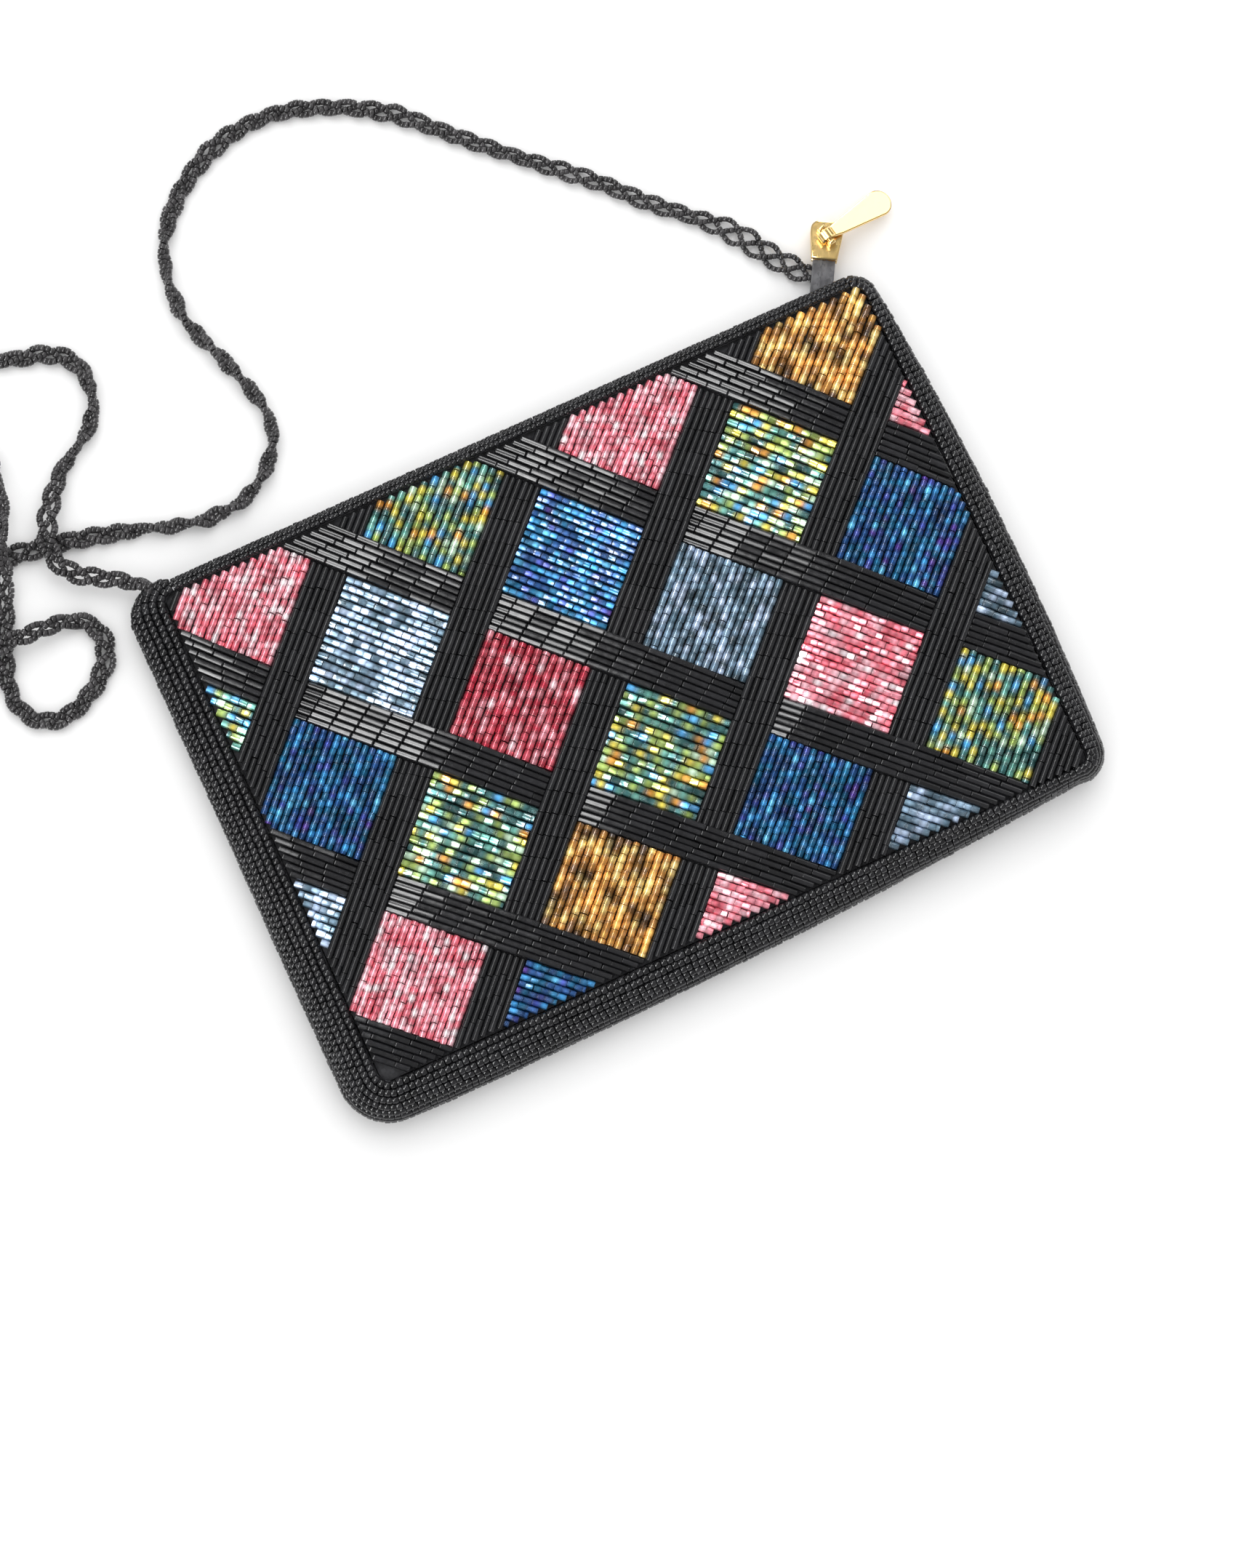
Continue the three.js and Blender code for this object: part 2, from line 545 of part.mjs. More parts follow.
const pullPivot = new THREE.Group();
pullPivot.position.set(BRIDGE_FORWARD, 0, BRIDGE_HEIGHT);
pullPivot.rotation.z = PULL_HEADING - TAPE_HEADING;
const pull = piece('zip_pull', zipPull(), looks.gold);
pull.rotation.y = PULL_DROOP;
pullPivot.add(pull);
slider.add(pullPivot);
purse.add(slider);

export default purse;
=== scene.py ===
# %% [markdown]
# # A beaded evening purse
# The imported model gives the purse's plain forms at their real size: a crowned front, a rolled
# edge, a satin back, a zip and a strap. This lesson dresses them. Thousands of glass beads are
# laid in rows, each bead from one small blank, and every row follows the form under it.

# %% Load the frame
import math

import bmesh
import bpy
import numpy as np
from mathutils import Matrix, Vector
from mathutils.geometry import interpolate_bezier


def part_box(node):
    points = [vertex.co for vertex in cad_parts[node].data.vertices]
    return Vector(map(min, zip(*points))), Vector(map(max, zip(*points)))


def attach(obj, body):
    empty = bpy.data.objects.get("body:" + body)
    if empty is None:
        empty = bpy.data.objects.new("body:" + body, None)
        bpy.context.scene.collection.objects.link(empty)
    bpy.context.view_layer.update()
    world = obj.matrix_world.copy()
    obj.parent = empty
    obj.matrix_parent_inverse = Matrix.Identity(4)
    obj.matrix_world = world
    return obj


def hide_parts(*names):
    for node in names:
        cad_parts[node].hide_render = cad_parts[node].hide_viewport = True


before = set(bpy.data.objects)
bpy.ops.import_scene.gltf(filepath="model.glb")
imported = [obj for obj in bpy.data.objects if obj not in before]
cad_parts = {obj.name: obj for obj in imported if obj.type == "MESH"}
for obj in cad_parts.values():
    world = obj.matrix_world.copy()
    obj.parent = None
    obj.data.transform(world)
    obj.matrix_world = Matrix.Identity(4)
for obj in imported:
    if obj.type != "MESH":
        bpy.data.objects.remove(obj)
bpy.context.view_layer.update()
MM = 0.001
print("nodes:", sorted(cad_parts))

# %% [markdown]
# ## Camera
# The photograph looks almost straight down with a long lens. A camera could be tracked to a
# target, but then its roll is hard to set. So its matrix is written as three directions, right,
# up and back, worked out from how far it leans off the vertical, towards which side, and how far
# it is rolled about its own line of sight.

# %% Camera at the photograph's angle
PHOTO_WIDTH = 1718  # pixels
FOCAL_PIXELS = 8000
SENSOR_WIDTH = 36.0
CAMERA_FAR = 20.0
CAMERA_PLACE = Vector((-84.4, -170.3, 1292.0)) * MM
CAMERA_LEAN = math.radians(7.5)
LEAN_TOWARDS = Vector((-0.45, -0.89, 0.0)).normalized()
CAMERA_ROLL = math.radians(2.3)
UPRIGHT = Vector((0.0, 0.0, 1.0))


def link(name, data):
    """A new object with this data, in the scene."""
    obj = bpy.data.objects.new(name, data)
    bpy.context.scene.collection.objects.link(obj)
    return obj


back = LEAN_TOWARDS * math.sin(CAMERA_LEAN) + UPRIGHT * math.cos(CAMERA_LEAN)
level = UPRIGHT.cross(back).normalized()
rolled = Matrix.Rotation(CAMERA_ROLL, 3, back)
facing = Matrix((rolled @ level, rolled @ back.cross(level), back)).transposed()
camera_data = bpy.data.cameras.new("camera")
camera_data.sensor_fit = "HORIZONTAL"
camera_data.sensor_width = SENSOR_WIDTH
camera_data.lens = FOCAL_PIXELS / PHOTO_WIDTH * SENSOR_WIDTH
camera_data.clip_end = CAMERA_FAR
camera = link("camera", camera_data)
camera.matrix_world = Matrix.Translation(CAMERA_PLACE) @ facing.to_4x4()
bpy.context.scene.camera = camera
print("lens", round(camera_data.lens, 1), "mm")

# %% [markdown]
# ## Floor
# The purse lies on white paper, which the photograph shows almost burnt out. A bent sweep would
# hide the horizon, but this view looks down, so one large flat square does. Three helpers are made
# on the way: they fill a node's inputs, start a material and put a finished bmesh in the scene.

# %% Paper floor
FLOOR_SIZE = 6.0
FLOOR_DROP = 0.05 * MM
PAPER = {"Base Color": (0.97, 0.97, 0.97, 1), "Roughness": 0.9}


def set_inputs(tree, node, inputs):
    """Give a node's inputs plain values, or link them to other nodes' sockets."""
    for name, value in inputs.items():
        if isinstance(value, bpy.types.NodeSocket):
            tree.links.new(value, node.inputs[name])
        else:
            node.inputs[name].default_value = value


def new_material(name, inputs):
    """A material, its node tree and its Principled shader with these inputs."""
    material = bpy.data.materials.new(name)
    material.use_nodes = True
    tree = material.node_tree
    shader = tree.nodes["Principled BSDF"]
    set_inputs(tree, shader, inputs)
    return material, tree, shader


def piece_from(bm, name, material):
    """An object in the scene from a finished bmesh."""
    mesh = bpy.data.meshes.new(name)
    bm.to_mesh(mesh)
    bm.free()
    mesh.materials.append(material)
    return link(name, mesh)


floor_bm = bmesh.new()
bmesh.ops.create_grid(floor_bm, x_segments=1, y_segments=1, size=FLOOR_SIZE / 2)
bmesh.ops.translate(floor_bm, verts=floor_bm.verts, vec=(0, 0, -FLOOR_DROP))
floor = piece_from(floor_bm, "floor", new_material("white_paper", PAPER)[0])
print("floor", FLOOR_SIZE, "m wide")

# %% [markdown]
# ## Light
# Glass beads show the light more than their own colour. An evenly white room would leave them
# flat, and lamps alone would give only points. So the world asks which ray looks at it. Most rays
# see plain white. Rays that bounced off glass or metal see a dimmer room with one long, narrow arch
# of light, which stands across one set of bands. Only bugles that climb at the right slope mirror
# the arch, so one stretch of a band glints and the next stays dark. The arch is a product of two
# windows, one for each direction of the bands.

# %% World with an arch for reflections
WORLD_LIGHT = 1.0
ROOM_IN_GLASS = 0.36  # how bright reflections see the room
ARCH_IN_GLASS = 14.0  # and the arch of light in it
ACROSS = np.array([1.0, -1.0]) / math.sqrt(2)  # along one set of bands, down to the right
DOWN = np.array([-1.0, -1.0]) / math.sqrt(2)  # along the other set, down to the left
ARCH_MIDDLE = -0.26  # its place along ACROSS, as a part of a direction of length 1
ARCH_HALF = 0.045
ARCH_END = 0.9  # how far it reaches to both sides along DOWN
ARCH_BLUR = 0.015

world = bpy.data.worlds.new("white_room")
world.use_nodes = True
room = world.node_tree


def add_node(tree, kind, inputs, **settings):
    """A shader node with its settings and its inputs."""
    node = tree.nodes.new("ShaderNode" + kind)
    for name, value in settings.items():
        setattr(node, name, value)
    set_inputs(tree, node, inputs)
    return node


def math_node(tree, operation, *values):
    """The result of a Math node on sockets or plain numbers."""
    return add_node(tree, "Math", dict(enumerate(values)), operation=operation).outputs[0]


def window(way, middle, half):
    """1 where the ray's part along a level direction is within half of the middle, 0 outside."""
    part = add_node(room, "VectorMath", {0: ray_way, 1: (*way, 0)}, operation="DOT_PRODUCT")
    away = math_node(room, "ABSOLUTE", math_node(room, "SUBTRACT", part.outputs["Value"], middle))
    limits = {"Value": away, "From Min": half + ARCH_BLUR, "From Max": half - ARCH_BLUR}
    return add_node(room, "MapRange", limits, interpolation_type="SMOOTHSTEP").outputs["Result"]


ray_way = add_node(room, "TexCoord", {}).outputs["Generated"]
bounced = add_node(room, "LightPath", {}).outputs["Is Glossy Ray"]
arch = math_node(room, "MULTIPLY", window(ACROSS, ARCH_MIDDLE, ARCH_HALF), window(DOWN, 0.0, ARCH_END))
glass_light = math_node(room, "MULTIPLY_ADD", arch, ARCH_IN_GLASS, ROOM_IN_GLASS)
light = add_node(room, "MapRange", {"Value": bounced, "To Min": WORLD_LIGHT, "To Max": glass_light})
white_light = {"Color": (1.0, 1.0, 1.0, 1), "Strength": light.outputs["Result"]}
set_inputs(room, room.nodes["Background"], white_light)
bpy.context.scene.world = world
bpy.context.scene.view_settings.view_transform = "Standard"
print("world:", len(room.nodes), "nodes")

# %% [markdown]
# Three lamps help. A large one, like a softbox, lights the floor and the cloth and isn't mirrored.
# The two others work the other way round and show only in mirroring surfaces: one is placed where
# the gold pull mirrors it into the camera, and one gives the cut beads their white flashes.

# %% Lamps
LIGHT_DISTANCE = 1.3
LIGHTS = [  # name, azimuth and height in degrees, side, watts, whether only glass and metal see it
    ("soft_light", 62, 55, 1.3, 6.0, False),
    ("pull_light", 24.5, 38, 0.3, 0.9, True),
    ("bead_light", 185, 45, 0.45, 7.0, True),
]

for name, azimuth, height, side, power, for_glass in LIGHTS:
    azimuth, height = math.radians(azimuth), math.radians(height)
    flat = math.cos(height)
    way = Vector((math.cos(azimuth) * flat, math.sin(azimuth) * flat, math.sin(height)))
    lamp_data = bpy.data.lights.new(name, "AREA")
    lamp_data.size = side
    lamp_data.energy = power
    lamp = link(name, lamp_data)
    looking = way.to_track_quat("Z", "Y").to_matrix().to_4x4()
    lamp.matrix_world = Matrix.Translation(way * LIGHT_DISTANCE) @ looking
    lamp.visible_glossy = for_glass
    lamp.visible_diffuse = not for_glass
    print(name, power, "W, for glass and metal only:", for_glass)

# %% [markdown]
# ## The form of the front
# The real front is cloth that slopes from the full bottom down to the flat mouth and is crowned in
# the middle. Beads could be dropped onto the frame's mesh, but its facets would show in the rows.
# So the height is a formula that every later step can ask, with edges from the frame. A few long,
# low ripples and one full place are added, because sewn cloth under beads is never quite flat, and
# they are what makes one row glint and the next stay dark.

# %% Height of the beaded front
SEAM_GAP = 0.15 * MM  # half of the gap that the frame leaves between two pieces
BOTTOM_HEIGHT = 14.5 * MM
MOUTH_HEIGHT = 8.5 * MM
CROWN = 2.5 * MM
MOUTH_DIP = 0.5 * MM  # beside the mouth's rim
MOUTH_DIP_REACH = 10 * MM
FULL_PLACE = np.array([80.0, 6.0]) * MM
FULL_REACH = 32 * MM
FULL_HEIGHT = 2.9 * MM
FULL_HOLD = 5.0  # how steeply it falls to the seam
RIPPLES = [  # height, wavelength along X, wavelength along Y, phase
    (0.22, 61, 83, 0.4),
    (0.15, -47, 58, 2.1),
    (0.08, 36, -41, 4.0),
]
CALM_SLOPE = 1.6  # how fast the ripples die out towards the seam
CALM_AT_SEAM = 0.25  # and what is left of them there

front_low, front_high = (np.array(corner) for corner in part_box("front_panel"))
EDGE_LOW = front_low[:2] - SEAM_GAP
EDGE_HIGH = front_high[:2] + SEAM_GAP
EDGE_MIDDLE = (EDGE_LOW + EDGE_HIGH) / 2
EDGE_HALF = (EDGE_HIGH - EDGE_LOW) / 2


def front_top(x, y):
    """Height of the outer face of the beaded front."""
    rise = (y - EDGE_LOW[1]) / (EDGE_HIGH[1] - EDGE_LOW[1])
    across = (x - EDGE_MIDDLE[0]) / EDGE_HALF[0]
    along = (y - EDGE_MIDDLE[1]) / EDGE_HALF[1]
    swell = np.clip(1 - across**2, 0, 1) * np.clip(1 - along**2, 0, 1)
    return BOTTOM_HEIGHT + (MOUTH_HEIGHT - BOTTOM_HEIGHT) * rise + CROWN * swell


def ripple(x, y):
    """Low waves and a full place, dying out towards the edges, and the dip beside the mouth."""
    across = np.abs(x - EDGE_MIDDLE[0]) / EDGE_HALF[0]
    along = np.abs(y - EDGE_MIDDLE[1]) / EDGE_HALF[1]
    to_seam = 1 - np.maximum(across, along)
    calm = np.clip(CALM_SLOPE * to_seam + CALM_AT_SEAM, 0, 1)
    wave = sum(
        height * np.sin(2 * math.pi * (x / (wave_x * MM) + y / (wave_y * MM)) + phase)
        for height, wave_x, wave_y, phase in RIPPLES
    )
    from_full = np.hypot(x - FULL_PLACE[0], y - FULL_PLACE[1]) / FULL_REACH
    full = FULL_HEIGHT * np.exp(-from_full**2 / 2) * np.clip(FULL_HOLD * to_seam, 0, 1)
    dip = MOUTH_DIP * np.exp((y - EDGE_HIGH[1]) / MOUTH_DIP_REACH)
    return wave * MM * calm + full - dip


def front_height(x, y):
    """Height of the outer face with its ripples."""
    return front_top(x, y) + ripple(x, y)


print("front", np.round((EDGE_HIGH - EDGE_LOW) / MM, 1), "mm")

# %% [markdown]
# ## Woven cloth
# The purse's cloth is a plain weave: threads go over and under each other. Modelled threads would
# need millions of faces for no gain at this distance. A weave is easy to draw instead: two sets of
# bands, and a checker that says which of them is on top. Several cloths share it, so it is a node
# group, built once.

# %% Plain weave
WAVE_SHARE = 0.05  # scale of the bands, as a share of the threads in a metre
CHECK_SHARE = 0.5


def new_group(name, inputs, outputs):
    """A shader node group with named sockets, and its two ends."""
    group = bpy.data.node_groups.new(name, "ShaderNodeTree")
    for way, sockets in (("INPUT", inputs), ("OUTPUT", outputs)):
        for socket, kind in sockets.items():
            group.interface.new_socket(socket, in_out=way, socket_type="NodeSocket" + kind)
    return group, group.nodes.new("NodeGroupInput").outputs, group.nodes.new("NodeGroupOutput")


def weave_group():
    """Height of the cloth at a place, from its threads in a metre."""
    given_sockets = {"Threads": "Float", "Vector": "Vector"}
    group, given, result = new_group("plain_weave", given_sockets, {"Height": "Float"})
    finer = math_node(group, "MULTIPLY", given["Threads"], WAVE_SHARE)
    lay = {"Vector": given["Vector"], "Scale": finer}
    bands = [add_node(group, "TexWave", lay, bands_direction=way).outputs["Fac"] for way in "XY"]
    checks = math_node(group, "MULTIPLY", given["Threads"], CHECK_SHARE)
    checker = add_node(group, "TexChecker", {"Vector": given["Vector"], "Scale": checks})
    pick = add_node(group, "Mix", {"Factor": checker.outputs["Fac"], "A": bands[0], "B": bands[1]})
    set_inputs(group, result, {"Height": pick.outputs["Result"]})
    return group


PLAIN_WEAVE = weave_group()
print("group:", PLAIN_WEAVE.name, len(PLAIN_WEAVE.nodes), "nodes")

# %% [markdown]
# The cloths differ in colour, thread count and gloss, so one function makes them all. The weave's
# height paints shade on the cloth between its threads and raises the threads as a bump.

# %% Cloth
# painted shade: the cloth keeps only this share of its colour between its threads
THREAD_GAP_SHADE = 0.6  # share of its colour that the cloth keeps there
THREAD_DEPTH = 0.1 * MM
BLACK_THREAD = (0.04, 0.04, 0.045)


def cloth_material(name, colour, threads, roughness, bump, sheen):
    """A cloth with so many threads in a metre."""
    material, tree, shader = new_material(name, {"Roughness": roughness, "Sheen Weight": sheen})
    place = add_node(tree, "TexCoord", {}).outputs["Object"]
    weave = add_node(tree, "Group", {"Threads": threads, "Vector": place}, node_tree=PLAIN_WEAVE)
    height = weave.outputs["Height"]
    # painted shade between the threads, where the weave is low
    dark = [value * THREAD_GAP_SHADE for value in colour]
    tones = {"Factor": height, "A": (*dark, 1), "B": (*colour, 1)}
    shade = add_node(tree, "Mix", tones, data_type="RGBA")
    raised = add_node(tree, "Bump", {"Strength": bump, "Distance": THREAD_DEPTH, "Height": height})
    set_inputs(tree, shader, {"Base Color": shade.outputs["Result"], "Normal": raised.outputs["Normal"]})
    return material


BACKING = cloth_material("black_backing", BLACK_THREAD, threads=2200, roughness=0.85, bump=0.4, sheen=0.1)
print("cloth:", BACKING.name)

# %% [markdown]
# ## Backing cloth of the front
# Under the beads lies one sheet of black cloth. It could be draped by a simulation, but the beads
# hold it taut, so its form is already known. A bmesh grid is the natural start for a sheet: it has
# rows and columns, and each of its points is moved to the place that the form gives. Solidify turns
# it into cloth with a thickness.

# %% Sheets from grids
CLOTH_THICKNESS = 0.45 * MM


def sheet_area(obj):
    return sum(face.area for face in obj.data.polygons)


def cloth_sheet(name, places, material, thickness=CLOTH_THICKNESS):
    """A sheet through places (rows, columns, 3), facing up or out, with its thickness inwards."""
    rows, columns = places.shape[:2]
    bm = bmesh.new()
    bmesh.ops.create_grid(bm, x_segments=columns - 1, y_segments=rows - 1, size=0.5)
    for vert in bm.verts:
        row = round((vert.co.y + 0.5) * (rows - 1))
        column = round((vert.co.x + 0.5) * (columns - 1))
        vert.co = places[row, column]
    for face in bm.faces:
        face.smooth = True
    obj = piece_from(bm, name, material)
    wall = obj.modifiers.new("cloth thickness", "SOLIDIFY")
    wall.thickness = thickness
    wall.offset = -1.0
    print(name, rows, "x", columns, "points,", round(sheet_area(obj) * 1e4, 1), "cm2")
    return obj


print("cloth", round(CLOTH_THICKNESS / MM, 2), "mm thick")

# %% Backing cloth of the front
BEAD_LAYER = 1.75 * MM  # from the outer face of the beads down to the cloth
FRONT_GRID = (61, 87)
FRONT_INSET = 0.4 * MM
MOUTH_LAP = 0.3 * MM  # the cloth reaches this far under the mouth's rim


def travel(points):
    """How far along a line of points each of them is."""
    return np.concatenate([[0.0], np.cumsum(np.linalg.norm(np.diff(points, axis=0), axis=1))])


def dress(piece, slot, *nodes, body="purse"):
    """Let a piece ride on a body, in place of the frame's nodes if any. Its slot is not used."""
    if nodes:
        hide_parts(*nodes)
    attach(piece, body)


grid_y, grid_x = np.meshgrid(
    np.linspace(EDGE_LOW[1] + FRONT_INSET, EDGE_HIGH[1] + MOUTH_LAP, FRONT_GRID[0]),
    np.linspace(EDGE_LOW[0] + FRONT_INSET, EDGE_HIGH[0] - FRONT_INSET, FRONT_GRID[1]),
    indexing="ij",
)
grid_z = front_height(grid_x, grid_y) - BEAD_LAYER
front_places = np.stack([grid_x, grid_y, grid_z], axis=-1)
front_cloth = cloth_sheet("front_cloth", front_places, BACKING)
dress(front_cloth, "lattice_beads", "front_panel")

# %% [markdown]
# ## The lattice
# The pattern is a basket: two sets of diagonal bands of black bugles cross over and under each
# other, and the squares between them are filled with coloured beads. A picture on the cloth would
# look flat from the side, so the beads are laid as a beader sews them. All of it is laid out on two
# diagonal axes, so a place is just a pair of numbers. Rows run off the front and are clipped at its
# edge, and each row is cut into bead lengths.

# %% Lattice axes
PITCH = 33.3 * MM  # from one square to the next
FIRST_SQUARE = np.array([-21.4, 6.7]) * MM
DRIFT_SPAN = 60 * MM
# how far a place drifts for 1, v, v squared, u, u times v and u squared
DRIFT_ACROSS = np.array([-0.26, -0.69, -0.03, 0.0, 0.53, 0.17]) * MM
DRIFT_DOWN = np.array([0.39, -0.98, -2.09, -0.24, -0.34, 0.07]) * MM


def lattice_place(i, j):
    return FIRST_SQUARE + PITCH * (i * ACROSS + j * DOWN)


def as_sewn(place):
    """The regular lattice drifts a little, most of all towards the mouth."""
    u, v = (place - FIRST_SQUARE) / DRIFT_SPAN
    terms = np.array([1.0, v, v * v, u, u * v, u * u])
    return place + ACROSS * (DRIFT_ACROSS @ terms) + DOWN * (DRIFT_DOWN @ terms)


print("lattice pitch", round(PITCH / MM, 1), "mm")

# %% Rows on the lattice
ROW_MARGIN = 0.7 * MM
SHORTEST = 0.35  # share of a bead that is still worth sewing on
PAST_EDGE = 9  # this many squares away from the first one is off the front


def clip_to_front(start, end):
    """The ends of a row's stretch on the front, which is without length if there is none."""
    way = end - start
    to_low = (EDGE_LOW + ROW_MARGIN - start) / way
    to_high = (EDGE_HIGH - ROW_MARGIN - start) / way
    enter = max(0.0, np.minimum(to_low, to_high).max())
    leave = max(enter, min(1.0, np.maximum(to_low, to_high).min()))
    return start + way * enter, start + way * leave


def cut_row(length, pitch, shift):
    """Where the beads of a row begin and end, from 0 to its length, the first one cut short."""
    count = max(1, round(length / pitch))
    cuts = (np.arange(count + 1) - shift) * length / count
    inner = cuts[(cuts > pitch * SHORTEST) & (cuts < length - pitch * SHORTEST)]
    return np.concatenate([[0.0], inner, [length]])


def lay_rows(centres, half, pitch, shifts, lift=lambda flat: 0.0):
    """Ends of each bead in parallel rows on the front, as a pair of arrays for each row."""
    rows = []
    for centre, shift in zip(centres, shifts):
        start, end = clip_to_front(as_sewn(centre - half), as_sewn(centre + half))
        length = np.linalg.norm(end - start)
        if length < pitch * SHORTEST:
            continue
        flat = start + (end - start) * (cut_row(length, pitch, shift) / length)[:, None]
        points = np.column_stack([flat, front_height(*flat.T) + lift(flat)])
        rows.append((points[:-1], points[1:]))
    return rows


start, end = clip_to_front(lattice_place(-PAST_EDGE, 0), lattice_place(PAST_EDGE, 0))
print("a row through the first square is", round(np.linalg.norm(end - start) / MM, 1), "mm long")

# %% [markdown]
# ## One blank for each kind of bead
# A bead could be a cylinder object copied thousands of times, but that many objects slow
# everything down. Instead a blank is made once with bmesh: a short prism whose ends are bevelled.
# Smooth shading would make a long tube look like a barrel, because it blends the sides into the
# ends. Extra cuts close to the ends keep the blend there, so that the tube looks straight.

# %% Blanks
END_FACING = 0.9  # a face that points this far along the bead is one of its ends
# painted highlight: a bead's colour is painted lighter towards its top and darker at its sides
HIGHLIGHT_START = 0.2  # height in the bead where its bright core begins
HIGHLIGHT_POWER = 1.3


class Blank:
    """One bead along X, one unit long and one unit wide, ready to be copied.

    Its highlight weight says how far up a point is, towards the bead's top, which is painted lighter
    as a highlight, and blend holds its shares of the bead's start, middle and end.
    """

    def __init__(self, sides, bevel, cuts=(), bulge=0.0):
        bm = bmesh.new()
        bmesh.ops.create_cone(bm, cap_ends=True, segments=sides, radius1=0.5, radius2=0.5, depth=1.0)
        caps = [face for face in bm.faces if abs(face.normal.z) > END_FACING]
        rims = list(dict.fromkeys(edge for face in caps for edge in face.edges))
        bmesh.ops.bevel(bm, geom=rims, offset=bevel, affect="EDGES", segments=1, profile=0.5, material=-1)
        lying = Matrix.Rotation(math.pi / 2, 3, "Y")
        bmesh.ops.rotate(bm, verts=bm.verts, cent=(0, 0, 0), matrix=lying)
        for cut in cuts:
            geometry = [*bm.verts, *bm.edges, *bm.faces]
            bmesh.ops.bisect_plane(bm, geom=geometry, plane_co=(cut, 0, 0), plane_no=(1, 0, 0))
        for vert in bm.verts:
            vert.co.yz *= 1 - bulge * (2 * vert.co.x) ** 2
        bm.verts.index_update()
        bm.normal_update()
        self.points = np.array([vert.co for vert in bm.verts])
        self.corners = np.array([vert.index for face in bm.faces for vert in face.verts])
        sizes = np.array([len(face.verts) for face in bm.faces])
        self.starts = np.concatenate([[0], np.cumsum(sizes)[:-1]])
        self.smooth = np.array([abs(face.normal.x) < END_FACING for face in bm.faces])
        bm.free()
        x, _, z = self.points.T
        # painted highlight weight: 1 on the bead's top, 0 low on its sides
        self.core = np.clip((z * 2 - HIGHLIGHT_START) / (1 - HIGHLIGHT_START), 0, 1) ** HIGHLIGHT_POWER
        from_middle = np.abs(x) * 2
        at_start = np.where(x < 0, from_middle, 0.0)
        at_end = np.where(x > 0, from_middle, 0.0)
        self.blend = np.column_stack([at_start, 1 - from_middle, at_end])


CUT_BLANK = Blank(sides=8, bevel=0.02, cuts=(-0.45, 0.0, 0.45), bulge=0.012)
BUGLE_BLANK = Blank(sides=8, bevel=0.03, cuts=(-0.44, 0.44))
SEED_BLANK = Blank(sides=8, bevel=0.13)
print("points in a blank:", [len(blank.points) for blank in (CUT_BLANK, BUGLE_BLANK, SEED_BLANK)])

# %% [markdown]
# NumPy copies a blank's points to every bead's place and joins the copies into a single mesh. Each
# bead keeps its own glass colour in an attribute that the material reads. On lined glass a highlight
# is painted along the bead's top, and painted shade falls off to its sides.

# %% Strings of beads
def unit(vectors):
    return vectors / np.linalg.norm(vectors, axis=-1, keepdims=True)


def string_beads(name, blank, beads, material, body=1.0, flash=1.0):
    """One mesh with a copy of the blank for each bead: centre, along, up, size and tint.

    The tint is full along the bead's top, a painted highlight, and falls to the body's share at its sides,
    a painted shade.
    It is one colour for each bead, or three: at its start, in its middle and at its end. Its alpha
    says how brightly the glass flashes.
    """
    along = unit(beads["along"])
    side = unit(np.cross(beads["up"], along))
    frames = np.stack([along, side, np.cross(along, side)], axis=-1)
    points = np.einsum("nij,nkj->nki", frames, blank.points[None] * beads["size"][:, None])
    points += beads["centre"][:, None]
    count, copied = points.shape[:2]
    copies = np.arange(count)[:, None]
    mesh = bpy.data.meshes.new(name)
    mesh.vertices.add(count * copied)
    mesh.vertices.foreach_set("co", points.ravel())
    corners = (blank.corners + copies * copied).ravel()
    mesh.loops.add(len(corners))
    mesh.loops.foreach_set("vertex_index", corners.astype(np.int32))
    starts = (blank.starts + copies * len(blank.corners)).ravel()
    mesh.polygons.add(len(starts))
    mesh.polygons.foreach_set("loop_start", starts.astype(np.int32))
    mesh.polygons.foreach_set("use_smooth", np.tile(blank.smooth, count))
    mesh.update(calc_edges=True)
    colours = beads["tint"]
    if colours.ndim == 2:
        colours = np.repeat(colours[:, None], 3, axis=1)
    # painted highlight and shade: full colour on the bead's top, the body's share on its sides
    shade = body + (1.0 - body) * blank.core
    tint = np.full((count, copied, 4), flash)
    tint[:, :, :3] = np.einsum("kt,ntc->nkc", blank.blend, colours) * shade[None, :, None]
    layer = mesh.attributes.new("glass_tint", "FLOAT_COLOR", "POINT")
    layer.data.foreach_set("color", tint.ravel())
    mesh.materials.append(material)
    mesh.calc_loop_triangles()
    print(name, count, "beads,", len(mesh.loop_triangles), "triangles")
    return link(name, mesh)


print("faces in a blank:", [len(blank.starts) for blank in (CUT_BLANK, BUGLE_BLANK, SEED_BLANK)])

# %% [markdown]
# ## Lined glass and jet
# Pressed glass is a little uneven in colour and gloss. An image could show that, but a noise has no
# seams and no limit of size. This group takes a bead's own colour and makes it uneven, dulls the
# gloss in small patches and says where the glass is clear enough to flash.

# %% Uneven glass
GLASS_GRAIN = 700.0  # patches in a metre
GLASS_DETAIL = 2.0
GLASS_SHADE = (0.7, 0.65)  # how much the noise lightens the tint, and what is left without it
GLASS_DULLING = 0.16
GLASS_CLEAR = (0.44, 0.58)  # the noise where glass begins to be clear, and where it is quite clear


def noise_on(tree, scale, detail):
    """A noise on the object's own coordinates."""
    place = add_node(tree, "TexCoord", {}).outputs["Object"]
    return add_node(tree, "TexNoise", {"Vector": place, "Scale": scale, "Detail": detail}).outputs["Fac"]


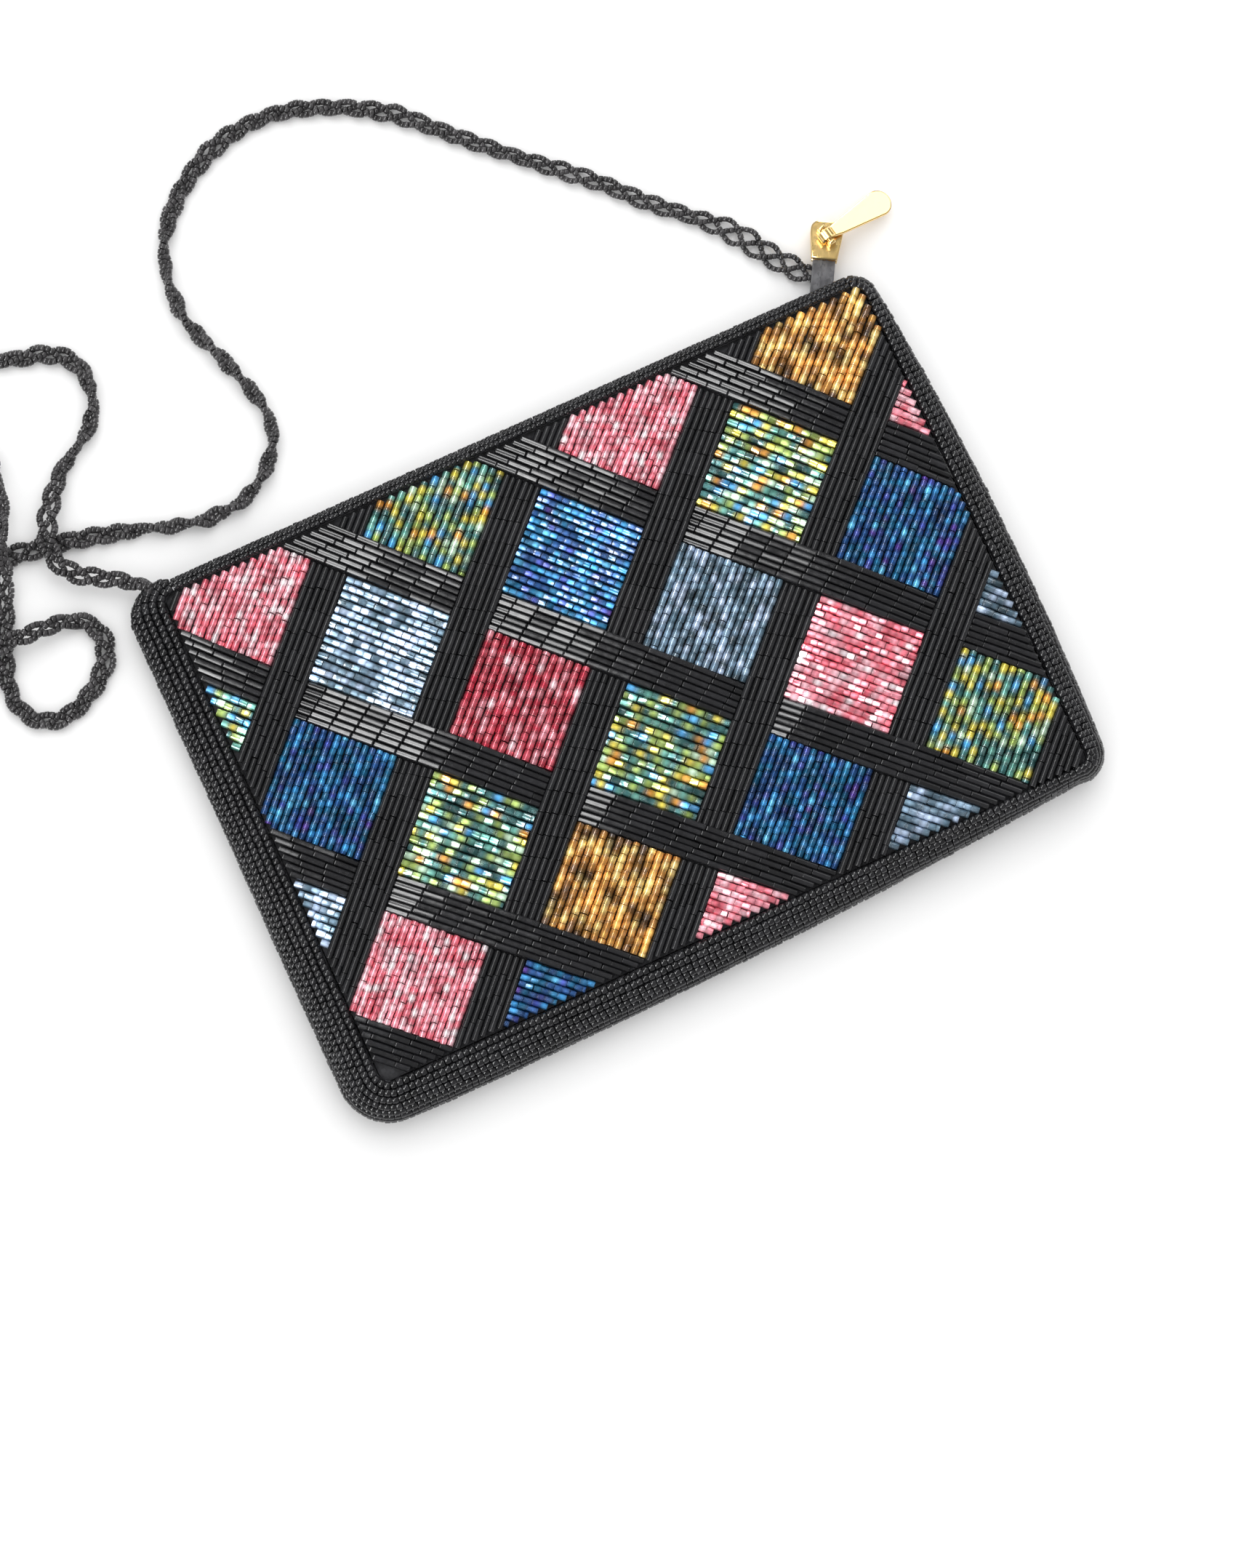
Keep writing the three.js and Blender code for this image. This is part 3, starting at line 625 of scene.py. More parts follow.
def glass_group():
    """Colour, roughness and clearness of a bead, from its tint and gloss."""
    made = {"Color": "Color", "Roughness": "Float", "Clear": "Float"}
    group, given, result = new_group("uneven_glass", {"Tint": "Color", "Gloss": "Float"}, made)
    patches = noise_on(group, GLASS_GRAIN, GLASS_DETAIL)
    shade = math_node(group, "MULTIPLY_ADD", patches, *GLASS_SHADE)
    tint = add_node(group, "VectorMath", {0: given["Tint"], "Scale": shade}, operation="SCALE")
    dull = math_node(group, "MULTIPLY", patches, GLASS_DULLING)
    start, end = GLASS_CLEAR
    clear = add_node(group, "MapRange", {"Value": patches, "From Min": start, "From Max": end})
    set_inputs(group, result, {
        "Color": tint.outputs["Vector"],
        "Roughness": math_node(group, "ADD", given["Gloss"], dull),
        "Clear": clear.outputs["Result"],
    })
    return group


UNEVEN_GLASS = glass_group()
print("group:", UNEVEN_GLASS.name, len(UNEVEN_GLASS.nodes), "nodes")

# %% [markdown]
# Lined beads carry a bright metal lining behind coloured glass. Real clear glass round a metal core
# would render slowly and noisily, so they are part metal under a coat that is strong only where the
# glass is clear. Black beads are plain dark glass.

# %% Glass
COAT = {"Coat Roughness": 0.06, "Coat IOR": 2.1}


def bead_material(name, gloss, metallic=0.0, coat=False):
    """Uneven glass in the bead's own tint, with a coat that flashes if asked for."""
    material, tree, shader = new_material(name, {"Metallic": metallic})
    tint = add_node(tree, "Attribute", {}, attribute_name="glass_tint").outputs
    given = {"Gloss": gloss, "Tint": tint["Color"]}
    made = add_node(tree, "Group", given, node_tree=UNEVEN_GLASS).outputs
    set_inputs(tree, shader, {"Base Color": made["Color"], "Roughness": made["Roughness"]})
    if coat:
        flash = math_node(tree, "MULTIPLY", made["Clear"], tint["Alpha"])
        set_inputs(tree, shader, {"Coat Weight": flash, **COAT})
    return material


LINED_GLASS = bead_material("lined_glass", gloss=0.16, metallic=0.55, coat=True)
JET_GLASS = bead_material("jet_glass", gloss=0.06)
print("glass:", LINED_GLASS.name, JET_GLASS.name)

# %% [markdown]
# A laid row becomes beads. Perfectly even beads would look printed, so each is tilted, rolled and
# sized a little at random, and its cut facets catch the light here and there. It sits half its
# width under the outer face.

# %% From rows to beads
SIDEWAYS_LESS = 3  # beads swing sideways this much less than they tip
WIDTH_SPREAD = 0.04
PLACE_SPREAD = 0.04 * MM
LENGTHS = (0.98, 1.02)  # shortest and longest bead, as shares of its place


def turn_about(vectors, axes, angles):
    """Each vector turned about its own axis."""
    angles = angles[:, None]
    return vectors * np.cos(angles) + np.cross(axes, vectors) * np.sin(angles)


def beads_from(rows, width, gap, rng, tilt, roll):
    """Beads between the laid points, tilted and rolled a little at random."""
    start, end = (np.concatenate(points) for points in zip(*rows))
    along = unit(end - start)
    count = len(along)
    sideways = unit(np.cross(UPRIGHT, along))
    normal = np.cross(along, sideways)
    along = turn_about(along, normal, rng.normal(0, tilt / SIDEWAYS_LESS, count))
    along = turn_about(along, sideways, rng.normal(0, tilt, count))
    upward = unit(np.cross(along, np.cross(normal, along)))
    upward = turn_about(upward, along, rng.uniform(-roll, roll, count))
    length = np.linalg.norm(end - start, axis=1) - gap
    thick = width * rng.normal(1.0, WIDTH_SPREAD, count)
    centre = (start + end) / 2 - normal * (width / 2)
    centre += rng.normal(0, PLACE_SPREAD, (count, 3))
    size = np.column_stack([length * rng.uniform(*LENGTHS, count), thick, thick])
    return {"centre": centre, "along": along, "up": upward, "size": size}


print("a bead fills", LENGTHS[0], "to", LENGTHS[1], "of its place")

# %% [markdown]
# ## Coloured squares
# The squares are filled with lined glass, and no two beads of it are quite alike. One colour for a
# square would look like plastic, and a painted image would be flat. So each kind of glass has a
# short palette, and a bead takes one of its colours at random. Over that, light and shade are painted in
# soft patches.
# Beads that touch share the mean of their colours where they meet. Each bead's ends are painted
# darker, as shade, and its middle lighter, as a highlight.

# %% Colours of lined glass
# painted light and shade: soft waves that lighten and darken the beads' colours in patches
PAINTED_LIGHT_PATCHES = [(11.0, 17.0, 0.6), (-19.0, 9.0, 2.2), (7.0, -13.0, 4.1)]  # wavelengths in mm, phase
DARKEST_PAINTED_PATCH = 0.2
BEAD_LIGHT = (0.75, 1.2)  # darkest and lightest bead of one colour
TOUCHING = 0.4 * MM
# painted highlight in the middle of each lined bead, and painted shade at its ends where beads meet
MIDDLE_HIGHLIGHT = 1.25  # how much lighter the middle of a lined bead is than its glass
END_SHADE = 0.7


def glass_colours(palette, painted_patchiness, beads, rng):
    """Colours for the start, middle and end of each bead, from rows of share, red, green, blue."""
    palette = np.array(palette)
    centre = beads["centre"]
    count = len(centre)
    picked = rng.choice(len(palette), count, p=palette[:, 0] / palette[:, 0].sum())
    x, y = centre[:, 0] / MM, centre[:, 1] / MM
    waves = [np.sin(2 * math.pi * (x / across + y / along) + phase) for across, along, phase in PAINTED_LIGHT_PATCHES]
    # painted patches of light and shade, times each bead's own random tone
    light = np.clip(1 + painted_patchiness * sum(waves), DARKEST_PAINTED_PATCH, None) * rng.uniform(*BEAD_LIGHT, count)
    colour = palette[picked, 1:] * light[:, None]
    half_along = unit(beads["along"]) * beads["size"][:, :1] / 2
    gap = np.linalg.norm((centre + half_along)[:-1] - (centre - half_along)[1:], axis=1)
    touching = (gap < TOUCHING)[:, None]
    mean = (colour[:-1] + colour[1:]) / 2
    start = np.concatenate([colour[:1], np.where(touching, mean, colour[1:])])
    end = np.concatenate([np.where(touching, mean, colour[:-1]), colour[-1:]])
    # painted shade at the ends, painted highlight in the middle
    return np.stack([start * END_SHADE, colour * MIDDLE_HIGHLIGHT, end * END_SHADE], axis=1)


print("light and dark come from", len(PAINTED_LIGHT_PATCHES), "waves")

# %% [markdown]
# The chart names the glass in every square, as a beader would write it down: one row for each
# diagonal, with the first square's place in the row. It could be read off a picture, but a chart
# can be checked by eye. Each glass has a row of its own facts and then its palette.

# %% Chart and palettes
CHART = {  # diagonal: (first square, glasses)
    -3: (1, ["gold", "pink"]),
    -2: (0, ["pink", "multi", "blue", "silver"]),
    -1: (-1, ["multi", "blue", "silver", "pink", "multi"]),
    0: (-2, ["pink", "silver", "ruby", "multi", "blue", "silver"]),
    1: (-2, ["multi", "blue", "multi", "gold", "pink"]),
    2: (-1, ["silver", "pink", "blue"]),
}
# body is the share of colour left at a bead's sides, as painted shade below the painted highlight on its
# top
GLASSES = {  # body: how much of its colour a bead keeps at its sides; palette: share, then the colour
    "pink": dict(rows=15, tilt=0.09, flash=1.0, body=0.92, painted_patchiness=0.1, palette=[
        (4, 1.0, 0.34, 0.42), (3, 0.84, 0.17, 0.23), (3, 1.0, 0.56, 0.63), (1, 1.0, 0.86, 0.90),
    ]),
    "ruby": dict(rows=13, tilt=0.07, flash=0.7, body=0.75, painted_patchiness=0.1, palette=[
        (4, 0.64, 0.10, 0.14), (3, 0.48, 0.035, 0.065), (2, 0.82, 0.30, 0.36), (0.4, 0.95, 0.62, 0.68),
    ]),
    "blue": dict(rows=15, tilt=0.035, flash=0.5, body=0.65, painted_patchiness=0.16, palette=[
        (4, 0.018, 0.075, 0.23), (3, 0.013, 0.135, 0.27), (1.2, 0.045, 0.065, 0.31),
        (1.8, 0.045, 0.26, 0.56), (0.35, 0.12, 0.50, 0.82), (0.2, 0.08, 0.04, 0.26),
    ]),
    "silver": dict(rows=14, tilt=0.06, flash=0.8, body=0.65, painted_patchiness=0.16, palette=[
        (4, 0.28, 0.41, 0.55), (4, 0.12, 0.195, 0.26), (3, 0.55, 0.69, 0.92), (0.7, 0.05, 0.08, 0.10),
    ]),
    "multi": dict(rows=13, tilt=0.085, flash=1.0, body=0.65, painted_patchiness=0.16, palette=[
        (4, 0.05, 0.15, 0.15), (3, 0.34, 0.46, 0.12), (2, 0.14, 0.38, 0.32), (2, 0.72, 0.60, 0.08),
        (1.4, 0.08, 0.36, 0.72), (0.8, 0.80, 0.36, 0.06), (1, 0.60, 0.84, 0.62),
    ]),
    "gold": dict(rows=13, tilt=0.07, flash=0.9, body=0.75, painted_patchiness=0.3, palette=[
        (4, 0.95, 0.475, 0.12), (4, 0.475, 0.216, 0.054), (3, 1.0, 0.69, 0.24), (1, 0.15, 0.075, 0.032),
    ]),
}
print("squares:", sum(len(glasses) for _, glasses in CHART.values()))

# %% [markdown]
# Squares whose place sums to an even number have their rows one way and the rest the other way,
# like a basket. All squares of one glass are one piece, which keeps the pieces few.

# %% Fill the squares
SQUARE_SHARE = 0.735  # of the pitch
CUT_LENGTH = 1.08  # of the distance between two rows
CUT_WIDTH = 0.98
CUT_ROLL = 0.2
ROW_SHIFT = 0.37  # share of a bead by which each row is shifted against the one before
SQUARE_SEED = 100
SQUARE_SIDE = PITCH * SQUARE_SHARE


def square_rows(i, j, count):
    """The laid rows of one square."""
    line, step = (DOWN, ACROSS) if (i + j) % 2 == 0 else (ACROSS, DOWN)
    offsets = [((row + 0.5) / count - 0.5) for row in range(count)]
    centres = [lattice_place(i, j) + step * offset * SQUARE_SIDE for offset in offsets]
    shifts = [row * ROW_SHIFT % 1.0 for row in range(count)]
    return lay_rows(centres, line * SQUARE_SIDE / 2, CUT_LENGTH * SQUARE_SIDE / count, shifts)


squares = {glass: [] for glass in GLASSES}
for diagonal, (first, glasses) in CHART.items():
    for step, glass in enumerate(glasses):
        squares[glass].extend(square_rows(first + step, diagonal, GLASSES[glass]["rows"]))

for number, (glass, facts) in enumerate(GLASSES.items()):
    rng = np.random.default_rng(SQUARE_SEED + number)
    width = CUT_WIDTH * PITCH * SQUARE_SHARE / facts["rows"]
    beads = beads_from(squares[glass], width, 0.0, rng, facts["tilt"], CUT_ROLL)
    beads["tint"] = glass_colours(facts["palette"], facts["painted_patchiness"], beads, rng)
    name = f"square_beads_{glass}"
    dress(string_beads(name, CUT_BLANK, beads, LINED_GLASS, facts["body"], facts["flash"]), "lattice_beads")

# %% [markdown]
# ## Bugle bands
# A band passes over at every second crossing and dives under at the ones between. Bending one long
# band up and down would be hard to clip, so it is laid in stretches: each stretch is centred on a
# crossing where the band is on top, and ends at the edges of the two bands that cross over it. It
# climbs steeply out from under the one, lies almost level over its own crossing, and dives under
# the other.

# %% Lay the bands
BAND_SHARE = 1.0 - SQUARE_SHARE
BAND_ROWS = 6
BUGLE_PITCH = 5.3 * MM
BUGLE_WIDTH = 1.5 * MM
BUGLE_GAP = 0.09 * MM
BUGLE_TILT = 0.014
WEAVE_LIFT = 0.9 * MM  # from the lowest to the highest place of a band
LIFT_POWER = 3
BAND_SHIFTS = (0.31, 0.17, 0.06)  # of the joints, for each step along both axes and for each row
JET = np.array([0.012, 0.012, 0.0135])
BUGLE_LIGHT = (0.7, 1.5)
BUGLE_SEED = 21
CROSSINGS = range(-4, 6)


def band_rows(ci, cj):
    """The stretch of band that lies on top at one crossing."""
    over, step = (ACROSS, DOWN) if (ci + cj) % 2 else (DOWN, ACROSS)
    crossing = lattice_place(ci - 0.5, cj - 0.5)
    reach = PITCH * (1 - BAND_SHARE / 2)

    def lift(flat):
        from_crossing = np.abs((flat - crossing) @ over) / reach
        return WEAVE_LIFT * (0.5 - from_crossing**LIFT_POWER)

    offsets = [((row + 0.5) / BAND_ROWS - 0.5) * PITCH * BAND_SHARE for row in range(BAND_ROWS)]
    centres = [crossing + step * offset for offset in offsets]
    shifts = [np.dot(BAND_SHIFTS, (ci, cj, row)) % 1.0 for row in range(BAND_ROWS)]
    return lay_rows(centres, over * reach, BUGLE_PITCH, shifts, lift)


rng = np.random.default_rng(BUGLE_SEED)
bugle_rows = [row for ci in CROSSINGS for cj in CROSSINGS for row in band_rows(ci, cj)]
bugles = beads_from(bugle_rows, BUGLE_WIDTH, BUGLE_GAP, rng, BUGLE_TILT, roll=math.pi)
bugles["tint"] = JET * rng.uniform(*BUGLE_LIGHT, (len(bugles["centre"]), 1))
dress(string_beads("bugle_bands", BUGLE_BLANK, bugles, JET_GLASS), "lattice_beads")

# %% [markdown]
# ## Rolled edge
# The edge is a band of seed beads that rolls off the front, stands out furthest a little above
# the table and is tucked under the back. A curve with a bevel would give one section all round, but
# here the section's reach changes along each side. So stations round the edge carry the section,
# and a row of beads joins the places that are equally far from the front's edge along it.

# %% Sides of the front
CORNER_RADIUS = 3 * MM
SIDES = {  # side: reach at its start, middle and end, and how far it is tucked under, in mm
    "left": (9, 9, 9, 5),
    "bottom": (8.5, 7.5, 2.4, 5),
    "right": (5.2, 6.4, 3, 5),
    "top": (3.2, 3.2, 3.2, 3.2),
}
AROUND = list(SIDES)
FACING = {side: math.pi * (1 + number / 2) for number, side in enumerate(AROUND)}

(low_x, low_y), (high_x, high_y) = EDGE_LOW, EDGE_HIGH
around_x = (low_x, low_x, high_x, high_x, low_x)
around_y = (high_y, low_y, low_y, high_y, high_y)
front_corners = np.column_stack([around_x, around_y])
RUNS = {}
for side, start, end in zip(AROUND, front_corners, front_corners[1:]):
    inward = np.sign(end - start) * CORNER_RADIUS
    RUNS[side] = (start + inward, end - inward)
    print(side, "side", round(np.linalg.norm(end - start - 2 * inward) / MM, 1), "mm between its corners")

# %% Stations round the edge
CORNER_STEPS = 10
STATION_STEP = 1.0 * MM
BAND_CUT = 0.06  # share of a top corner that is left to the mouth's rim


def side_stations(side):
    """Stations along one side: x, y, facing angle, reach and tuck."""
    start, end = RUNS[side]
    count = int(np.linalg.norm(end - start) / STATION_STEP)
    t = np.linspace(0, 1, count)
    first, middle, last, tuck = SIDES[side]
    # a straight change from end to end, and a bow that is highest in the middle
    reach = first + (last - first) * t + (middle - (first + last) / 2) * 4 * t * (1 - t)
    flat = start + (end - start) * t[:, None]
    return np.column_stack([flat, np.full(count, FACING[side]), reach * MM, np.full(count, tuck * MM)])


def outward(angles):
    return np.column_stack([np.cos(angles), np.sin(angles)])


def corner_stations(side, following, begin=0.0, finish=1.0):
    """Stations round the corner after a side, or round a share of it."""
    t = np.linspace(begin, finish, CORNER_STEPS)
    angle = FACING[side] + t * math.pi / 2
    flat = RUNS[side][1] + CORNER_RADIUS * (outward(angle) - outward([FACING[side]]))
    reach = SIDES[side][2] + (SIDES[following][0] - SIDES[side][2]) * t
    tuck = SIDES[side][3] + (SIDES[following][3] - SIDES[side][3]) * t
    return np.column_stack([flat, angle, reach * MM, tuck * MM])


edge_stations = np.concatenate([
    corner_stations("top", "left", begin=BAND_CUT),
    side_stations("left"),
    corner_stations("left", "bottom"),
    side_stations("bottom"),
    corner_stations("bottom", "right"),
    side_stations("right"),
    corner_stations("right", "top", finish=1.0 - BAND_CUT),
])
mouth_stations = side_stations("top")
print(len(edge_stations), "stations round the edge,", len(mouth_stations), "along the mouth")

# %% [markdown]
# The section is a quarter of an ellipse down to the widest height, and another one tucked under.
# The mouth's rim has only the first quarter, which ends above the zip.

# %% Section of the rolled edge
WIDEST_HEIGHT = 5 * MM
BAND_LIFT = 0.3 * MM  # the underside clears the table
MOUTH_LOW = 5.9 * MM
SECTION_STEPS = 24
QUARTER = np.linspace(0, math.pi / 2, SECTION_STEPS)


def section_points(station, out, z):
    x, y, angle = station[:3]
    return np.column_stack([x + math.cos(angle) * out, y + math.sin(angle) * out, z])


def edge_section(station):
    """Points of the section at a station, from the front's edge to under the back."""
    x, y, _, reach, tuck = station
    under = QUARTER[1:]
    out = np.concatenate([reach * np.sin(QUARTER), reach - tuck * (1 - np.cos(under))])
    z = np.concatenate([
        WIDEST_HEIGHT + (front_top(x, y) - WIDEST_HEIGHT) * np.cos(QUARTER),
        WIDEST_HEIGHT - (WIDEST_HEIGHT - BAND_LIFT) * np.sin(under),
    ])
    return section_points(station, out, z)


def mouth_section(station):
    """The same roll over the mouth's front edge, ending above the zip."""
    x, y, _, reach, _ = station
    z = MOUTH_LOW + (front_top(x, y) - MOUTH_LOW) * np.cos(QUARTER)
    return section_points(station, reach * np.sin(QUARTER), z)


def section_at(section, distance):
    """Place and direction at a distance along a section, or None past its end."""
    travelled = travel(section)
    if distance > travelled[-1]:
        return None
    near = np.clip(np.searchsorted(travelled, distance), 1, len(section) - 1)
    step = section[near] - section[near - 1]
    share = (distance - travelled[near - 1]) / np.linalg.norm(step)
    return section[near - 1] + step * share, step


print("edge section", round(travel(edge_section(edge_stations[0]))[-1] / MM, 1), "mm at its start")

# %% [markdown]
# Seed beads are threaded along each row. The row's places are measured along their own line, and
# a bead goes at every pitch, sunk by half its width, so that the beads' outer faces are the form.

# %% Rows of seed beads on a form
def at_distances(travelled, points, wanted):
    """Points at wanted distances along a measured line."""
    return np.column_stack([np.interp(wanted, travelled, axis) for axis in points.T])


def seed_row(stations, section_of, distance, start_share, size):
    """Centres, directions and normals of the beads in one row."""
    pitch, width = size
    places, normals = [], []
    for station in stations:
        found = section_at(section_of(station), distance)
        if found is None:
            continue
        place, down_section = found
        tangent = np.array([-math.sin(station[2]), math.cos(station[2]), 0.0])
        places.append(place)
        normals.append(np.cross(down_section, tangent))
    places, normals = np.array(places), unit(np.array(normals))
    travelled = travel(places)
    count = int(travelled[-1] / pitch)
    wanted = (np.arange(count) + start_share) * travelled[-1] / count
    upward = unit(at_distances(travelled, normals, wanted))
    ahead = at_distances(travelled, places, wanted + pitch / 2)
    behind = at_distances(travelled, places, wanted - pitch / 2)
    return at_distances(travelled, places, wanted) - upward * width / 2, unit(ahead - behind), upward


# %% Black seed beads
EDGE_SEED = (1.45 * MM, 1.95 * MM)  # pitch and width
MOUTH_SEED = (1.15 * MM, 1.3 * MM)
SEED_TURN = 0.05
SEED_PLACE = 0.025  # of its width
SEED_WIDTH = 0.03
SEED_LENGTHS = (0.95, 1.03)
SEED_LIGHT = (0.6, 1.6)


def seed_beads(name, rows, seed, size):
    """One mesh of black seed beads from rows of centres, directions and normals."""
    pitch, width = size
    rng = np.random.default_rng(seed)
    centre, along, upward = (np.concatenate(field) for field in zip(*rows))
    count = len(centre)
    along = turn_about(along, upward, rng.normal(0, SEED_TURN, count))
    centre = centre + rng.normal(0, SEED_PLACE * width, (count, 3))
    thick = width * rng.normal(1.0, SEED_WIDTH, count)
    sizes = np.column_stack([pitch * rng.uniform(*SEED_LENGTHS, count), thick, thick])
    tint = JET * rng.uniform(*SEED_LIGHT, (count, 1))
    beads = {"centre": centre, "along": along, "up": upward, "size": sizes, "tint": tint}
    return string_beads(name, SEED_BLANK, beads, JET_GLASS)


print("seed beads", np.round(np.array([EDGE_SEED, MOUTH_SEED]) / MM, 2).tolist(), "mm")

# %% Bead the edge and the mouth
EDGE_ROWS = 11
MOUTH_ROWS = 3
ROW_SPACING = 1.02  # of a bead's width
START_SHARES = (0.25, 0.75)  # of a bead, for even and odd rows


def form_rows(stations, section_of, count, size):
    """Rows of beads side by side, every second one shifted by half a bead."""
    return [
        seed_row(stations, section_of, (row + 0.5) * size[1] * ROW_SPACING, START_SHARES[row % 2], size)
        for row in range(count)
    ]


edge_rows = form_rows(edge_stations, edge_section, EDGE_ROWS, EDGE_SEED)
mouth_rows = form_rows(mouth_stations, mouth_section, MOUTH_ROWS, MOUTH_SEED)
for name, rows, seed, size in (
    ("edge_beads", edge_rows[:EDGE_ROWS // 2], 31, EDGE_SEED),
    ("under_beads", edge_rows[EDGE_ROWS // 2:], 33, EDGE_SEED),
    ("mouth_beads", mouth_rows, 32, MOUTH_SEED),
):
    dress(seed_beads(name, rows, seed, size), "edge_beads")

# %% [markdown]
# Behind the seed beads lies the same black cloth as under the front. It could be left out, but then
# light would shine between the beads. It is one sheet carried along the same stations, sunk by the
# thickness of the beads.

# %% Cloth under the edge and the mouth
CLOTH_SUNK = 1.4 * MM
HIDDEN_STEP = 2  # every second place is enough where beads hide the cloth


def form_cloth(name, stations, section_of, node):
    """A cloth sheet under rows of beads, moved inwards from the form."""
    sections = np.array([section_of(station)[::HIDDEN_STEP] for station in stations[::HIDDEN_STEP]])
    along = np.gradient(sections, axis=0)
    down_section = np.gradient(sections, axis=1)
    normal = unit(np.cross(down_section, along))
    sheet = cloth_sheet(name, sections - normal * CLOTH_SUNK, BACKING)
    dress(sheet, "edge_beads", node)
    return sheet


edge_cloth = form_cloth("edge_cloth", edge_stations, edge_section, "edge_band")
form_cloth("mouth_cloth", mouth_stations, mouth_section, "mouth_rim")

# %% [markdown]
# ## Satin back
# The purse lies on a plain satin back. A grid cut to its outline would have ragged edges. Its
# outline is known on four sides, and a Coons patch fills a sheet between four curves: it adds the
# sheet between the left and right curves to the one between the bottom and top curves, and takes
# away what was counted twice.

# %% Sheet between four edges
BACK_GRID = (49, 69)
BACK_GAP = 0.3 * MM


def back_edge(side, count):
    """The back's outline along a side, from the middle of one corner to the middle of the next."""
    before = AROUND[AROUND.index(side) - 1]
    after = AROUND[(AROUND.index(side) + 1) % len(AROUND)]
    stations = np.concatenate([
        corner_stations(before, side, begin=0.5),
        side_stations(side)[1:-1],
        corner_stations(side, after, finish=0.5),
    ])
    out = stations[:, 3] - stations[:, 4] - BACK_GAP
    points = stations[:, :2] + outward(stations[:, 2]) * out[:, None]
    travelled = travel(points)
    return at_distances(travelled, points, np.linspace(0, travelled[-1], count))


rows, columns = BACK_GRID
left_edge, right_edge = back_edge("left", rows)[::-1], back_edge("right", rows)
bottom_edge, top_edge = back_edge("bottom", columns), back_edge("top", columns)[::-1]
u = np.linspace(0, 1, columns)[None, :, None]
v = np.linspace(0, 1, rows)[:, None, None]
sideways = left_edge[:, None] * (1 - u) + right_edge[:, None] * u
upwards = bottom_edge[None] * (1 - v) + top_edge[None] * v
low_line = bottom_edge[0] * (1 - u) + bottom_edge[-1] * u
high_line = top_edge[0] * (1 - u) + top_edge[-1] * u
back_flat = sideways + upwards - (low_line * (1 - v) + high_line * v)
back_size = np.ptp(back_flat.reshape(-1, 2), axis=0)
print("back", np.round(back_size / MM, 1), "mm")

# %% [markdown]
# The tight seam puckers the satin at its edges. The puckers are low waves along each edge, which
# die out towards the middle.

# %% Puckered satin
SATIN_THICKNESS = 0.8 * MM
PUCKER = 0.5 * MM
PUCKER_REACH = 14 * MM
PUCKER_PITCH = 8 * MM
PUCKER_PHASES = (0.0, 1.0)  # along the sides, and along the bottom and the top
SATIN_BLACK = (0.02, 0.02, 0.024)
SATIN = cloth_material("black_satin", SATIN_BLACK, threads=5200, roughness=0.34, bump=0.25, sheen=0.3)

x, y = back_flat[:, :, 0], back_flat[:, :, 1]
to_side = np.minimum(x - x[:, :1], x[:, -1:] - x)
to_end = np.minimum(y - y[:1], y[-1:] - y)
puckers = sum(
    np.exp(-distance / PUCKER_REACH) * (0.5 + 0.5 * np.sin(2 * math.pi * along / PUCKER_PITCH + phase))
    for distance, along, phase in zip((to_side, to_end), (y, x), PUCKER_PHASES)
)
back_places = np.dstack([back_flat, PUCKER * puckers / 2])[:, ::-1]
satin_back = cloth_sheet("satin_back", back_places, SATIN, SATIN_THICKNESS)
dress(satin_back, "satin", "back_panel")
back_area = min(sheet_area(satin_back), back_size.prod())

# %% [markdown]
# ## Zip
# The two tapes are the frame's own pieces with a woven finish, because their shape is right as it
# is. The teeth are closed, so they are a row of small upright nylon bars, and the bead helper can
# copy them like beads.

# %% Tapes and teeth
TEETH_ENDS = (-79.5 * MM, 82 * MM)
TOOTH_PITCH = 1.25 * MM
TOOTH_SIZE = (3.9 * MM, 0.95 * MM, 1.7 * MM)
TEETH_PLACE = (63.9 * MM, 3.7 * MM)  # across the mouth, and height
NYLON_BLACK = (0.02, 0.02, 0.022)
NYLON = bead_material("black_nylon", gloss=0.3)
TAPE_WEAVE = dict(threads=1800, roughness=0.8, bump=0.8, sheen=0.2)
ZIP_TAPE = cloth_material("woven_zip_tape", BLACK_THREAD, **TAPE_WEAVE)

for node in ("zip_tape_front", "zip_tape_back"):
    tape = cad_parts[node]
    tape.data.materials.clear()
    tape.data.materials.append(ZIP_TAPE)

tooth_x = np.arange(*TEETH_ENDS, TOOTH_PITCH)
for_each = (len(tooth_x), 1)
teeth = {
    "centre": np.column_stack([tooth_x, np.tile(TEETH_PLACE, for_each)]),
    "along": np.tile(UPRIGHT, for_each),
    "up": np.tile([0.0, 1.0, 0.0], for_each),
    "size": np.tile(TOOTH_SIZE, for_each),
    "tint": np.tile(NYLON_BLACK, for_each),
}
dress(string_beads("zip_teeth", CUT_BLANK, teeth, NYLON), "zip_teeth", "zip_coil")

# %% [markdown]
# The tape's loose end sticks out at the right and carries the slider. A plain strip would do, but
# its woven ridges show in the photograph. So it is a small sheet, square to the mouth at its root and
# to the slider at its end, with ridges along it.

# %% Loose end of the tape
SLIDER_PLACE = Vector((84.9, 74.6, 3.8)) * MM
TAPE_HEADING = math.radians(60)
SLIDER_LENGTH = 8.7 * MM
TAIL_START = 65.2 * MM
TAIL_WIDTH = 5.1 * MM
TAIL_THICKNESS = 1.1 * MM
TAIL_GRID = (25, 21)
RIDGE_HEIGHT = 0.35 * MM
RIDGES = [(1.0, 0.12, 0.09), (0.6, 0.46, 0.05)]  # share, place to both sides, half width
RIDGE_MIDDLE = 0.5
# the loose end's tape is lighter grey than the black tape inside the mouth
TAIL_GREY = (0.15, 0.15, 0.16)
TAIL_TAPE = cloth_material("grey_tape_end", TAIL_GREY, **TAPE_WEAVE)

